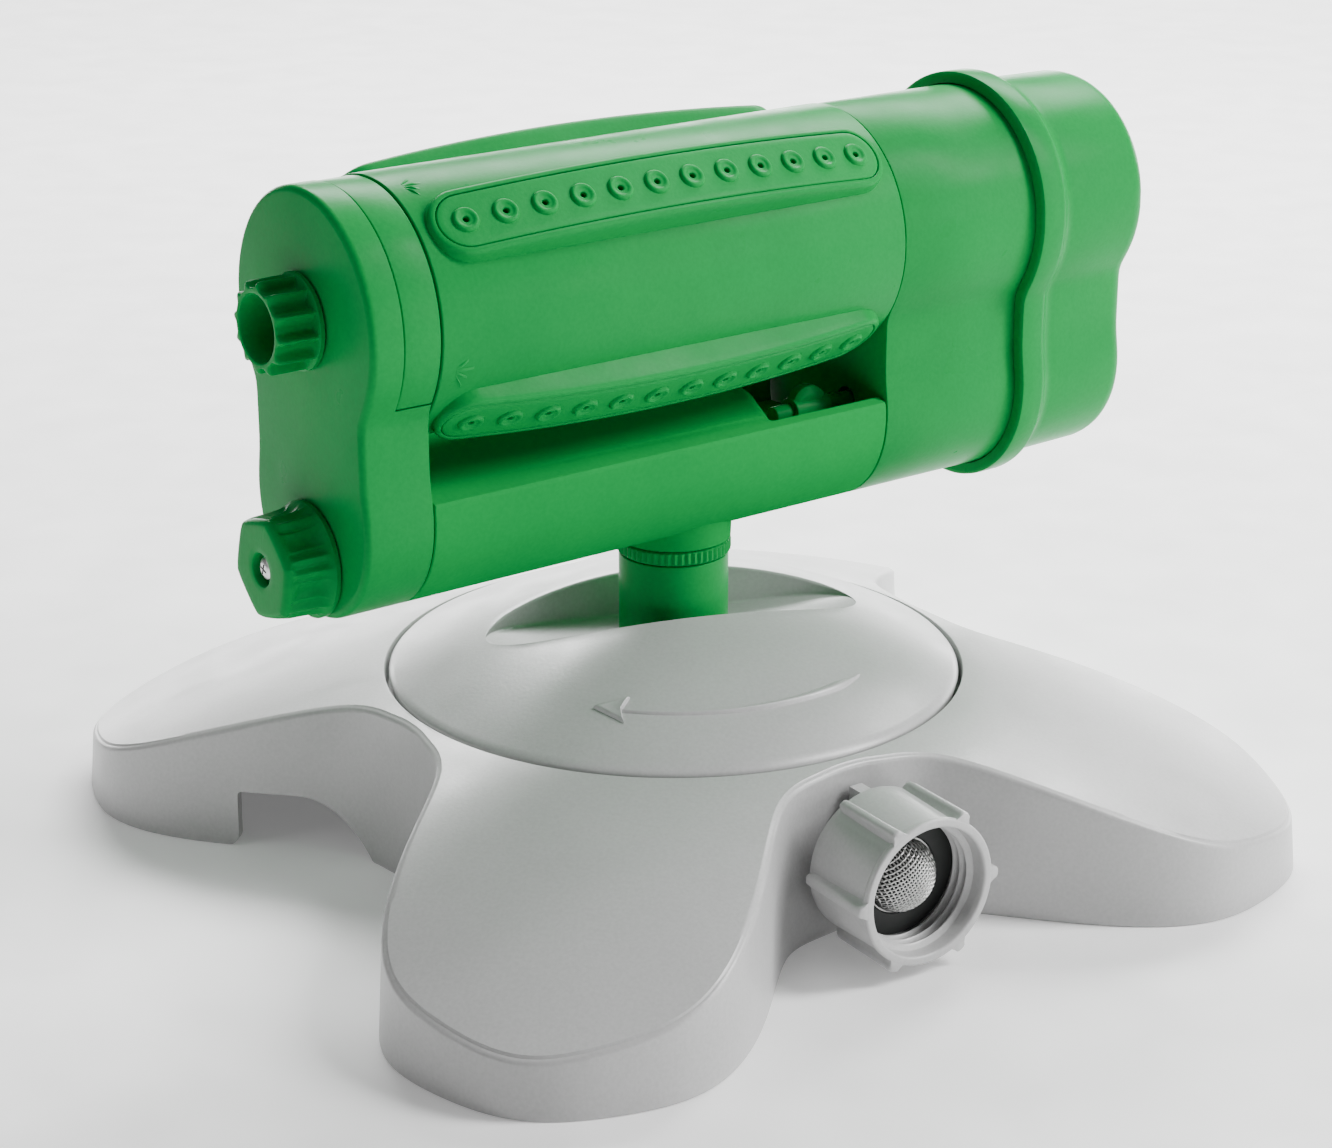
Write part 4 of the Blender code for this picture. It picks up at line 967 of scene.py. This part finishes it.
def strips():
    """Four nozzle strips: crowned plates with a row of rimmed, drilled nozzles."""
    steps = ((0.3, 1.8), (0, 1.6), (0, 0.35), (0.12, 0.1), (0.35, 0.0), (1.5, 0.0), (2.9, 0.0), (4.4, 0.0))
    plate = lofted([stadium(0.04, 1.8)] + [stadium(STRIP_HALF - inset, drop) for inset, drop in steps]
                   + [stadium(0.04, 0.0)])
    seats = []
    for place in range(ROW_COUNT):
        along = ROW_CENTRE - ROW_REACH + ROW_PITCH * place
        lean = math.atan(2 * ROW_DROP * (along - ROW_CENTRE) / ROW_REACH ** 2)
        seats.append(Matrix.Translation((along, 0, row_height(along))) @ Matrix.Rotation(lean, 4, 'Y'))
    drills = [moved(upright(turned([(0.85, -2.6), (0.85, 3.0)], 20, True)), seat) for seat in seats]
    profile = softened([(3.0, -0.5, 0), (2.95, 0.0, 0.2), (2.75, 0.5, 0.25), (2.4, 0.78, 0.25),
                        (1.9, 0.72, 0.3), (1.45, 0.42, 0.3), (1.0, 0.38, 0.2), (0.68, 0.25, 0.15),
                        (0.68, -0.5, 0)], 3)
    nozzles = [moved(upright(turned(profile, 40)), seat) for seat in seats]
    first = bare("strip", plate, WORLD)
    carve(first, merged(drills), WORLD)
    rims = bare("rims", merged(nozzles), WORLD)
    work = bmesh.new()
    work.from_mesh(first.data)
    work.from_mesh(rims.data)
    whole = bpy.data.meshes.new("strip_whole")
    work.to_mesh(whole)
    work.free()
    for item in (first, rims):
        bpy.data.objects.remove(item)
    for number in range(ROWS):
        mesh = whole.copy()
        turn = Matrix.Rotation(radians(FIRST_ROW + 90 * number), 4, 'X')
        away = HEAD.copy()
        away.translation *= MM
        mesh.transform(away @ turn)
        strip = linked(f"strip_{number + 1}", mesh)
        finish_piece(strip, SOFT_GREEN, "drum", [f"nozzle_strip_{number + 1}"], 42)


# ---- knobs and lever -----------------------------------------------------------------------------

def drum_knob():
    """Round knob with narrow ribs between a base flange and a rounded face, bored deep."""
    steps = KNOB_RIBS * 24
    base, face = KNOB_BACK, KNOB_FACE

    def ring(along, radius, depth=0.0):
        loop = []
        for step in range(steps):
            angle = TAU * step / steps
            wave = 0.5 + 0.5 * cos(KNOB_RIBS * (angle - radians(6)))
            reach = radius - depth * (1 - wave ** 2.6)
            loop.append((along, reach * cos(angle), reach * sin(angle)))
        return loop

    loops = [ring(base, 9.4), ring(base, 9.9), ring(base - 0.25, 10.25), ring(base - 1.1, 10.25),
             ring(base - 1.4, 10.0, 0.2), ring(base - 1.6, 9.9, 1.3), ring(base - 2.0, 9.9, 1.85),
             ring(base - 3.0, 9.9, 2.05), ring(base - 6.0, 9.9, 2.0), ring(face + 2.2, 9.9, 1.85),
             ring(face + 1.2, 9.9, 1.7), ring(face + 0.6, 9.8, 1.55), ring(face + 0.25, 9.5, 1.25),
             ring(face + 0.06, 9.1, 0.95), ring(face, 8.6, 0.5), ring(face, 8.0), ring(face, 7.6),
             ring(face + 0.12, 7.3), ring(face + 0.5, 7.1), ring(face + 4.0, 6.95),
             ring(face + 7.4, 6.7)]
    knob = bare("swing_knob", lofted(loops), HEAD)
    carve(knob, turned([(KNOB_BORE_R, -99.0), (KNOB_BORE_R, -90.0)], 40, True), HEAD)
    finish_piece(knob, GREEN, "drum", ["drum_knob"], 34)


def flow_knob():
    """Six-cornered knob: two ribs on each corner and a scooped valley on each side."""
    steps = 576
    base, face = FLOW_BACK, FLOW_FACE

    def ring(along, radius, flat=0.0, scoop=0.0, rib=0.0):
        loop = []
        for step in range(steps):
            angle = TAU * step / steps
            past = (math.degrees(angle) - FLOW_CORNER) % FLOW_PITCH
            from_corner = min(past, FLOW_PITCH - past)
            from_side = FLOW_PITCH / 2 - from_corner
            hexagon = radius * 0.9 / cos(radians(from_side))
            hexagon = (hexagon ** -18 + (radius * 1.01) ** -18) ** (-1 / 18)
            reach = radius * (1 - flat) + hexagon * flat
            reach -= scoop * max(0.0, 1 - (from_side / 15) ** 2) ** 0.8
            groove = 0.5 + 0.5 * cos(radians(from_corner * 24))
            fade = 1.0 if from_corner < 15 else max(0.0, 1 - (from_corner - 15) / 4)
            reach -= rib * groove ** 0.7 * fade
            loop.append((along, reach * cos(angle), reach * sin(angle)))
        return loop

    loops = [ring(base, 12.0), ring(base, 12.4), ring(base - 0.2, 12.6), ring(base - 1.1, 12.6),
             ring(base - 1.4, 12.5, 0.2), ring(base - 2.0, 12.45, 0.4, 0.5, 0.25),
             ring(base - 2.6, 12.4, 0.6, 1.1, 0.6), ring(base - 3.6, 12.35, 0.8, 1.5, 0.8),
             ring(base - 5.4, 12.25, 0.9, 1.55, 0.85), ring(face + 3.8, 12.15, 1.0, 1.4, 0.85),
             ring(face + 2.8, 12.1, 1.0, 1.0, 0.82), ring(face + 2.2, 12.05, 1.0, 0.5, 0.65),
             ring(face + 1.7, 11.95, 1.0, 0.15, 0.3), ring(face + 1.3, 11.85, 1.0, 0.0, 0.05),
             ring(face + 0.9, 11.7, 1.0), ring(face + 0.5, 11.4, 1.0), ring(face + 0.2, 11.0, 1.0),
             ring(face + 0.04, 10.5, 1.0), ring(face, 9.9, 1.0),
             ring(face, 8.0, 0.6), ring(face, 5.4), ring(face, 4.1), ring(face + 0.12, 3.75),
             ring(face + 0.4, 3.55), ring(face + 2.2, 3.5)]
    knob = bare("valve_knob", lofted(loops), VALVE)
    carve(knob, turned([(3.6, -98.0), (3.6, FACE_S + 5)], 40, True), VALVE)
    carve(knob, turned([(1.4, face - 3), (1.4, FACE_S + 3)], 24, True), VALVE)
    finish_piece(knob, GREEN, "flow_knob", ["flow_knob"], 34)
    head = softened([(0.02, face + 0.55, 0), (1.3, face + 0.62, 0.3), (2.35, face + 1.1, 0.35),
                     (2.6, face + 1.6, 0.2), (2.6, face + 2.0, 0.1), (1.1, face + 2.0, 0.1),
                     (1.1, -99.0, 0), (0.02, -99.0, 0)])
    screw = bare("valve_screw", turned(head, 64, True), VALVE)
    for turn in (20, 110):
        bar = [(-0.33, -1.55), (0.33, -1.55), (0.33, 1.55), (-0.33, 1.55)]
        narrow = [(y * 0.55, z * 0.6) for y, z in bar]
        cross = lofted([[(face - 0.5, y, z) for y, z in bar],
                        [(face + 1.75, y, z) for y, z in narrow]])
        carve(screw, moved(cross, Matrix.Rotation(radians(turn), 4, 'X')), VALVE)
    finish_piece(screw, STEEL, "flow_knob", ["knob_screw"], 30)


def lever():
    """Reversing tab with a rounded back on its hub and shaft."""
    tab = []
    for across, size in ((-2.1, 0.62), (-1.8, 0.86), (-1.2, 0.98), (0.0, 1.0), (1.2, 0.98), (1.8, 0.86),
                         (2.1, 0.62)):
        outline = []
        for step in range(25):
            angle = radians(-20 + 220 * step / 24)
            outline.append((TAB_AT + 5.2 * size * cos(angle), across,
                            TAB_RISE + 5.4 * size * sin(angle)))
        tab.append(outline)
    shaft = softened([(0.02, 22.0, 0), (2.2, 22.0, 0.3), (2.2, 27.0, 0.1), (3.4, 27.0, 0.3),
                      (3.4, 37.0, 0.3), (2.2, 37.0, 0.1), (2.2, 48.6, 0.2), (0.02, 48.6, 0)])
    shapes = [turned(shaft, 48, True), lofted(tab)]
    piece("lever", merged(shapes), LEVER, GREEN, "reverser", "green_body", "reversing_lever")


# ---- everything ----------------------------------------------------------------------------------

def dress_cad_nodes():
    """Procedural materials for the CAD nodes that stay in sight or inside."""
    slots = {row["node"]: row["material_slot"] for row in frame["record"]["subparts"]}
    for name, item in frame["nodes"].items():
        item.data.materials.clear()
        item.data.materials.append(LOOKS[slots[name]])


def floor():
    """Plain pale floor, slightly self-lit so that it stays near white."""
    bpy.ops.mesh.primitive_plane_add(size=FLOOR_SIZE)
    ground = bpy.context.object
    ground.name = "floor"
    material = plastic("pale_floor", (0.95, 0.95, 0.95), 0.85, 40.0, 0.02, 0.2, 0.01)
    fill(material.node_tree.nodes["Principled BSDF"], Emission_Color=(1, 1, 1, 1),
         Emission_Strength=FLOOR_GLOW)
    ground.data.materials.append(material)


def softbox(name, location, size, power):
    """Soft rectangular light aimed at the sprinkler."""
    data = bpy.data.lights.new(name, 'AREA')
    data.shape = 'RECTANGLE'
    data.size, data.size_y = size
    data.energy = power
    lamp = linked(name, data)
    lamp.location = location
    aim = Vector(LIGHT_TARGET) - Vector(location)
    lamp.rotation_euler = aim.to_track_quat('-Z', 'Y').to_euler()


def light_and_camera():
    """Even pale surroundings, the softboxes and the camera."""
    world = bpy.data.worlds.new("studio")
    world.use_nodes = True
    fill(world.node_tree.nodes["Background"], Color=(1, 1, 1, 1), Strength=SKY)
    bpy.context.scene.world = world
    for name, location, size, power in LIGHTS:
        softbox(name, location, size, power)
    camera = linked("camera", bpy.data.cameras.new("camera"))
    camera.data.lens = CAMERA_LENS
    camera.data.sensor_width = CAMERA_SENSOR
    camera.location = CAMERA_SPOT
    aim = Vector(CAMERA_TARGET) - camera.location
    camera.rotation_euler = aim.to_track_quat('-Z', 'Y').to_euler()
    bpy.context.scene.camera = camera


light_and_camera()
floor()
dress_cad_nodes()
base_cover()
disc_cover()
disc_arrow()
post_and_ring()
nut_pieces()
front_cover()
collar()
cradle_body()
housing()
cap()
drum()
strips()
drum_knob()
flow_knob()
lever()
